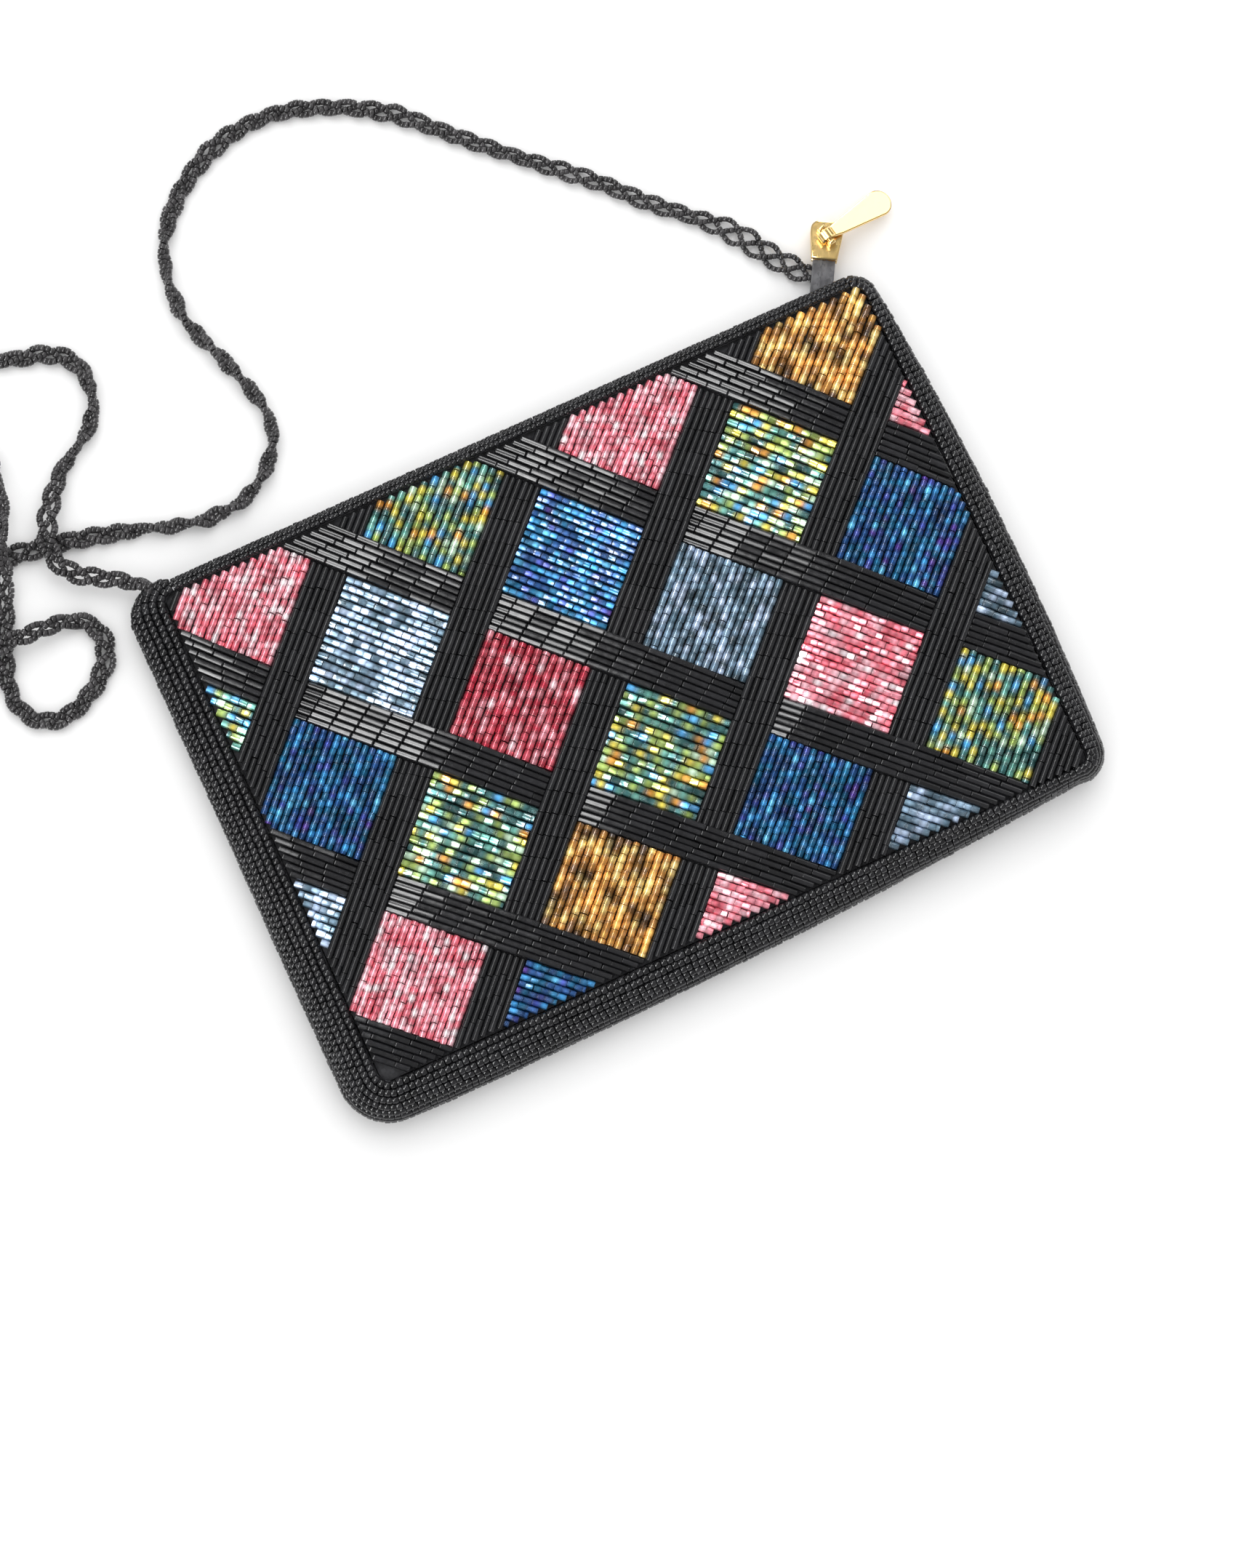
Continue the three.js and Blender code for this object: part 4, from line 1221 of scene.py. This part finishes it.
ahead = np.array([math.cos(TAPE_HEADING), math.sin(TAPE_HEADING)])
beside = np.array([ahead[1], -ahead[0]])
tail_end = np.array(SLIDER_PLACE[:2]) - ahead * (SLIDER_LENGTH / 2)
steps_along, steps_across = np.linspace(0, 1, TAIL_GRID[0]), np.linspace(-0.5, 0.5, TAIL_GRID[1])
along, across = np.meshgrid(steps_along, steps_across, indexing="ij")
end_flat = tail_end + across[..., None] * TAIL_WIDTH * beside
root_flat = end_flat - ahead * ((end_flat[..., 1] - TAIL_START) / ahead[1])[..., None]
tail_flat = root_flat + (end_flat - root_flat) * along[..., None]
ridge = sum(share * np.exp(-((np.abs(across) - place) / half) ** 2) for share, place, half in RIDGES)
tail_height = SLIDER_PLACE.z + TAIL_THICKNESS / 2 + RIDGE_HEIGHT * (ridge - RIDGE_MIDDLE)
tail_tape = cloth_sheet("zip_tail_tape", np.dstack([tail_flat, tail_height]), TAIL_TAPE, TAIL_THICKNESS)
dress(tail_tape, "zip_tape", "zip_tail")

# %% [markdown]
# ## Slider and pull
# The slider and its pull are gold-plated castings. A perfect mirror would look like a drawing, so a
# fine noise makes the plate's gloss and colour a little uneven, as handling does.

# %% Gold plate
RUB_SCALE = 900.0
RUB_DETAIL = 6.0
GOLD_GLOSS = (0.1, 0.15)  # how much the noise roughens the gold, and its roughness without it
GOLD_TONES = {"A": (0.90, 0.62, 0.24, 1), "B": (0.96, 0.71, 0.31, 1)}

GOLD, gold_tree, gold_shader = new_material("polished_gold_plate", {"Metallic": 1.0})
rub = noise_on(gold_tree, RUB_SCALE, RUB_DETAIL)
worn = add_node(gold_tree, "Mix", {"Factor": rub, **GOLD_TONES}, data_type="RGBA")
rough = math_node(gold_tree, "MULTIPLY_ADD", rub, *GOLD_GLOSS)
set_inputs(gold_tree, gold_shader, {"Base Color": worn.outputs["Result"], "Roughness": rough})
print("gold:", len(gold_tree.nodes), "nodes")

# %% [markdown]
# The slider is two plates on a web, with a bar on two cheeks. The pull is a tab with a round end,
# and its eye is a small chamfered outline spun about the bar, which is the hinge.

# %% Outlines of the slider and the pull
def arc(x, y, radius, start, end, count):
    """Points of an arc, angles in degrees."""
    angles = np.radians(np.linspace(start, end, count))
    return [(x + radius * math.cos(angle), y + radius * math.sin(angle)) for angle in angles]


def rectangle(x, y, half_x, half_y):
    return [(x + a * half_x, y + b * half_y) for a, b in ((-1, -1), (1, -1), (1, 1), (-1, 1))]


PULL_HEADING = math.radians(11)
PULL_DROOP = math.radians(19)
BRIDGE = Vector((0.5, 0.0, 4.7)) * MM
NOSE = [*arc(2.5, -1.85, 1.85, -90, 0, 7), *arc(2.5, 1.85, 1.85, 0, 90, 7)]
SLIDER_BODY = [(-4.35, -2.9), (1.74, -3.7), *NOSE, (1.74, 3.7), (-4.35, 2.9)]
SLIDER_PLATES = [  # outline, low, high and bevel, in mm
    (SLIDER_BODY, 0.75, 2.2, 0.3),
    (SLIDER_BODY, -2.2, -0.75, 0.3),
    (rectangle(0.6, 0, 2.8, 1.0), -1.0, 1.0, 0.1),
]
# the cheeks of the bridge have the same columns
CHEEKS = [(rectangle(0, side * 1.95, 0.8, 0.45), 1.9, 5.6, 0.25) for side in (-1, 1)]
BAR = (0.6, 3.9, 4.7)  # radius, length and height, in mm
PULL_TAB = [(1.3, -1.2), (3.8, -1.7), *arc(15.4, 0, 3.1, -90, 90, 19), (3.8, 1.7), (1.3, 1.2)]
PULL_PLATE = (PULL_TAB, -0.55, 0.55, 0.3)
EYE_RADII = (0.95, 1.9)
EYE_HALF = 1.2
EYE_CHAMFER = 0.3
EYE_STEPS = 24
print("outlines:", len(SLIDER_BODY), "points round the slider,", len(PULL_TAB), "round the tab")

# %% [markdown]
# Boxes would do for castings of this size, but real edges always catch a line of light. So each is
# built from outlines: a flat face is drawn from points, extruded to its thickness, and its edges
# are bevelled.

# %% Bevelled castings
SHARP_ANGLE = math.radians(35)
BEVEL_STEPS = 2
ROD_SIDES = 16


def casting(name, build, matrix, node, body):
    """A gold piece from a function that fills a bmesh, put in its place."""
    bm = bmesh.new()
    build(bm)
    bmesh.ops.recalc_face_normals(bm, faces=bm.faces)
    bm.transform(matrix)
    obj = piece_from(bm, name, GOLD)
    obj.data.set_sharp_from_angle(angle=SHARP_ANGLE)
    for face in obj.data.polygons:
        face.use_smooth = len(face.vertices) == 4  # the plates' own faces stay flat
    dress(obj, "gold_metal", node, body=body)
    print(name, len(obj.data.polygons), "faces")


def add_plate(bm, outline, low, high, bevel):
    """A plate with bevelled edges, from an outline in millimetres."""
    face = bm.faces.new([bm.verts.new((x * MM, y * MM, low * MM)) for x, y in outline])
    raised = bmesh.ops.extrude_face_region(bm, geom=[face])["geom"]
    verts = [item for item in raised if isinstance(item, bmesh.types.BMVert)]
    bmesh.ops.translate(bm, verts=verts, vec=(0, 0, (high - low) * MM))
    top = [item for item in raised if isinstance(item, bmesh.types.BMFace)]
    rims = list(dict.fromkeys(edge for item in [face, *top] for edge in item.edges))
    bmesh.ops.bevel(
        bm, geom=rims, offset=bevel * MM, affect="EDGES", segments=BEVEL_STEPS, profile=0.5, material=-1,
    )


def add_rod(bm, radius, length, height):
    """A round rod along Y, in millimetres."""
    place = Matrix.Translation((0, 0, height * MM)) @ Matrix.Rotation(math.pi / 2, 4, "X")
    bmesh.ops.create_cone(
        bm, cap_ends=True, segments=ROD_SIDES, radius1=radius * MM, radius2=radius * MM,
        depth=length * MM, matrix=place,
    )


print("bevels in", BEVEL_STEPS, "steps")

# %% Cast the slider and the pull
askew = Matrix.Rotation(PULL_HEADING - TAPE_HEADING, 4, "Z")


def slider_parts(bm):
    """Two plates on a web, and the bridge that holds the pull."""
    for plate in SLIDER_PLATES:
        add_plate(bm, *plate)
    lower = set(bm.verts)
    for cheek in CHEEKS:
        add_plate(bm, *cheek)
    add_rod(bm, *BAR)
    bridge = [vert for vert in bm.verts if vert not in lower]
    bmesh.ops.transform(bm, matrix=Matrix.Translation((BRIDGE.x, 0, 0)) @ askew, verts=bridge)


def pull_parts(bm):
    """A tab with a round end, and the eye round the bridge's bar."""
    add_plate(bm, *PULL_PLATE)
    inner, outer = EYE_RADII
    rim, flank = outer - EYE_CHAMFER, EYE_HALF - EYE_CHAMFER
    below = [(inner, -EYE_HALF), (rim, -EYE_HALF), (outer, -flank)]
    above = [(outer, flank), (rim, EYE_HALF), (inner, EYE_HALF)]
    ring = [bm.verts.new((x * MM, y * MM, 0)) for x, y in below + above]
    edges = [bm.edges.new((ring[k - 1], ring[k])) for k in range(len(ring))]
    full_turn = dict(cent=(0, 0, 0), axis=(0, 1, 0), angle=2 * math.pi, steps=EYE_STEPS, use_merge=True)
    bmesh.ops.spin(bm, geom=edges, **full_turn)


slider_matrix = Matrix.Translation(SLIDER_PLACE) @ Matrix.Rotation(TAPE_HEADING, 4, "Z")
pull_matrix = slider_matrix @ Matrix.Translation(BRIDGE) @ askew @ Matrix.Rotation(PULL_DROOP, 4, "Y")
casting("gold_slider", slider_parts, slider_matrix, "zip_slider", "purse")
casting("gold_pull", pull_parts, pull_matrix, "zip_pull", "pull")

# %% [markdown]
# ## Strap
# The strap is three strings of seed beads, plaited flat, and it lies in loose loops on the table.
# A simulated rope would fall another way than the one in the photograph, so its route is a table
# of places with a smooth line through them. It lifts off the table where it crosses itself.

# %% Route of the strap
STRAP_ON_TABLE = 1.5
STRAP_ROUTE = [  # x, y on the table, or x, y, z above it, in millimetres
    (80, 68.4), (77.4, 71.2), (75.2, 73.6), (72.5, 77.3), (69.7, 81.8), (66, 87), (59.8, 93.2), (52.4, 100),
    (44.4, 108.6), (35.6, 116.7), (26.8, 124.7), (18.3, 132.9), (10, 141.2), (5.1, 144.9), (0, 148),
    (-5.3, 150.5), (-10.8, 152.6), (-16.5, 153.9), (-22.4, 154.2), (-28.3, 153.5), (-33.9, 151.7),
    (-39.1, 149), (-44, 145.5), (-48.3, 141.2), (-51.6, 136.2), (-53.6, 130.6), (-54.4, 124.7),
    (-54.2, 118.7), (-52.5, 113), (-50.3, 107.6), (-48.5, 101.8), (-46.8, 96.1), (-46.1, 90.2),
    (-47.6, 84.9), (-51.2, 80.2), (-56, 76.7), (-61.3, 75), (-67.1, 74.8), (-74, 76), (-83, 79),
    (-91, 81.3), (-97.5, 83), (-104, 84.3), (-111, 85.4), (-119, 86.6), (-130, 88.5), (-141, 92),
    (-148.5, 98.5), (-149.5, 107.5), (-142.5, 114.5), (-131, 117.5), (-119, 117), (-110, 113),
    (-107, 105.5, 1.7), (-109, 97, 3.4), (-111.2, 91, 4.5), (-113.2, 86, 4.8), (-115.4, 80.5, 4.1),
    (-118.5, 73.5, 1.8), (-121.8, 66.5), (-123.9, 60), (-124.3, 54.3), (-122.2, 49.8), (-118.8, 47.5),
    (-114, 47.2), (-108.8, 49.3), (-104.8, 52), (-101.8, 55.4), (-100.6, 59.3), (-101.4, 63.2),
    (-104.2, 65.8, 2.2), (-108.9, 66.8, 3.5), (-114.5, 67, 4.7), (-121, 67.2, 5), (-128, 66.3, 4.3),
    (-136, 65.8, 2.4), (-146, 66.6), (-158, 69.5), (-170, 76.5), (-179, 88), (-182.5, 102.5),
    (-179.5, 117.5), (-170, 130), (-156, 137), (-140, 139), (-124, 137), (-109, 132.5), (-99.5, 129),
    (-91.8, 126.1), (-87.9, 125.3), (-84.1, 123.4), (-81.5, 121), (-80.2, 118), (-80, 114),
    (-80.5, 110.5), (-81.7, 107.9), (-83.5, 105.7), (-86.1, 103.4), (-89.1, 101.4), (-92.5, 99.4, 1.8),
    (-95.3, 96.8, 2.5), (-98.1, 93.3, 3.5), (-100.3, 90.2, 4.3), (-102.4, 86.2, 4.8), (-103.3, 82, 4.8),
    (-102.5, 78.4, 4.6), (-100.7, 75.8, 4.4), (-98.3, 73.8, 4.3), (-94.8, 71.7, 4.2), (-91.4, 69.6, 4.4),
    (-88.9, 67.6, 4.8), (-87.2, 66, 5.6), (-86, 64.6, 6.8),
]
ROUTE_STEPS = 40
HANDLE_PART = 6  # a Bezier handle is this part of the way between the points on both sides


def smooth_route(table):
    """A dense line through the table's points, from one Bezier span between each two."""
    points = [Vector((*place, STRAP_ON_TABLE)[:3]) * MM for place in table]
    ends = [points[0] * 2 - points[1], *points, points[-1] * 2 - points[-2]]
    line = []
    for before, start, end, after in zip(ends, ends[1:], ends[2:], ends[3:]):
        leaving = start + (end - before) / HANDLE_PART
        arriving = end - (after - start) / HANDLE_PART
        line.extend(interpolate_bezier(start, leaving, arriving, end, ROUTE_STEPS)[:-1])
    return np.array([*line, points[-1]])


route = smooth_route(STRAP_ROUTE)
route_travel = travel(route)
print("strap", round(route_travel[-1] / MM, 1), "mm long")

# %% [markdown]
# In a plait every strand swings from side to side as a sine, and goes over and under at twice that
# rate; the three strands are a third of a swing apart. The swing is wide where the plait lies open
# and small where it is twisted tight, so it is read from a short table of distances, and so are its
# depth, its twist and the width of its beads.

# %% Swing and twist along the strap
STRAND_WIDTH = [(0, 1.3), (70, 1.35), (120, 1.55), (170, 1.7), (270, 1.7), (290, 1.6), (800, 1.6)]
PLAIT_SWING = [  # millimetres along the strap, and how far a strand swings to each side
    (0, 1.2), (6, 2.2), (24, 2.2), (34, 1.6), (48, 1.45), (150, 1.45), (164, 1.4), (172, 1.15),
    (262, 1.15), (276, 1.6), (300, 1.5), (690, 1.5), (718, 1.3), (746, 1.3), (760, 1.6), (784, 1.6),
    (791, 1.0), (795, 0.8),
]
PLAIT_DEPTH = [  # and how far it goes over and under
    (0, 0.6), (160, 0.6), (172, 0.12), (262, 0.12), (276, 0.6), (385, 0.6), (395, 0.3), (424, 0.3),
    (436, 0.6), (716, 0.6), (724, 0.25), (746, 0.25), (756, 0.6), (800, 0.6),
]
PLAIT_TWIST = [  # and half turns so far
    (0, 0), (168, 0), (268, 11), (392, 11), (424, 13), (722, 13), (746, 15), (800, 15),
]
SWING_NOISE = [(0.12, 47, 0.3), (0.09, 21, 1.7)]  # share, wavelength in mm, phase

travel_mm = route_travel / MM


def along_strap(table):
    """A table's value at every point of the route."""
    return np.interp(travel_mm, *np.array(table, dtype=float).T)


uneven = sum(share * np.sin(2 * math.pi * travel_mm / wave + phase) for share, wave, phase in SWING_NOISE)
swing = along_strap(PLAIT_SWING) * MM * (1 + uneven)
depth = along_strap(PLAIT_DEPTH) * MM
twist = along_strap(PLAIT_TWIST) * math.pi
print("a strand swings", round(swing.min() / MM, 1), "to", round(swing.max() / MM, 1), "mm to each side")

# %% Plait three strings
STRANDS = 3
STRAND_PITCH = 1.2 * MM
PLAIT_LENGTH = 17 * MM  # one full swing of a strand
STRAP_GREY = np.array([0.046, 0.044, 0.046])
STRAP_LIGHT = (0.6, 1.5)
STRAP_WIDTH_SPREAD = 0.04
STRAP_PLACE_SPREAD = 0.03 * MM
STRAP_LENGTHS = (0.9, 1.02)
STRAP_UP = (0.05, 0.1, 1.0)  # a little askew, so that no bead points along it
STRAP_SEED = 41

tangent = unit(np.gradient(route, axis=0))
side = unit(np.cross(UPRIGHT, tangent))
upward = np.cross(tangent, side)
cosine, sine = np.cos(twist)[:, None], np.sin(twist)[:, None]
turned_side = side * cosine + upward * sine
turned_up = upward * cosine - side * sine
on_edge = np.abs(np.sin(twist)) * np.clip(swing - depth, 0, None)

strands = []
for strand in range(STRANDS):
    phase = 2 * math.pi * (route_travel / PLAIT_LENGTH + strand / STRANDS)
    line = (
        route
        + turned_side * (swing * np.sin(phase))[:, None]
        + turned_up * (depth * np.sin(2 * phase))[:, None]
        + upward * on_edge[:, None]
    )
    travelled = travel(line)
    wanted = np.arange(STRAND_PITCH / 2, travelled[-1], STRAND_PITCH)
    centre = at_distances(travelled, line, wanted)
    thick = np.interp(wanted, travelled, along_strap(STRAND_WIDTH)) * MM
    strands.append((centre, np.gradient(centre, axis=0), thick))
centre, along, thick = (np.concatenate(field) for field in zip(*strands))
count = len(centre)
rng = np.random.default_rng(STRAP_SEED)
thick = thick * rng.normal(1.0, STRAP_WIDTH_SPREAD, count)
plait = {
    "centre": centre + rng.normal(0, STRAP_PLACE_SPREAD, (count, 3)),
    "along": along,
    "up": np.tile(STRAP_UP, (count, 1)),
    "size": np.column_stack([STRAND_PITCH * rng.uniform(*STRAP_LENGTHS, count), thick, thick]),
    "tint": STRAP_GREY * rng.uniform(*STRAP_LIGHT, (count, 1)),
}
strap_beads = string_beads("strap_beads", SEED_BLANK, plait, JET_GLASS)
dress(strap_beads, "strap_beads", "strap_run", "strap_slack")
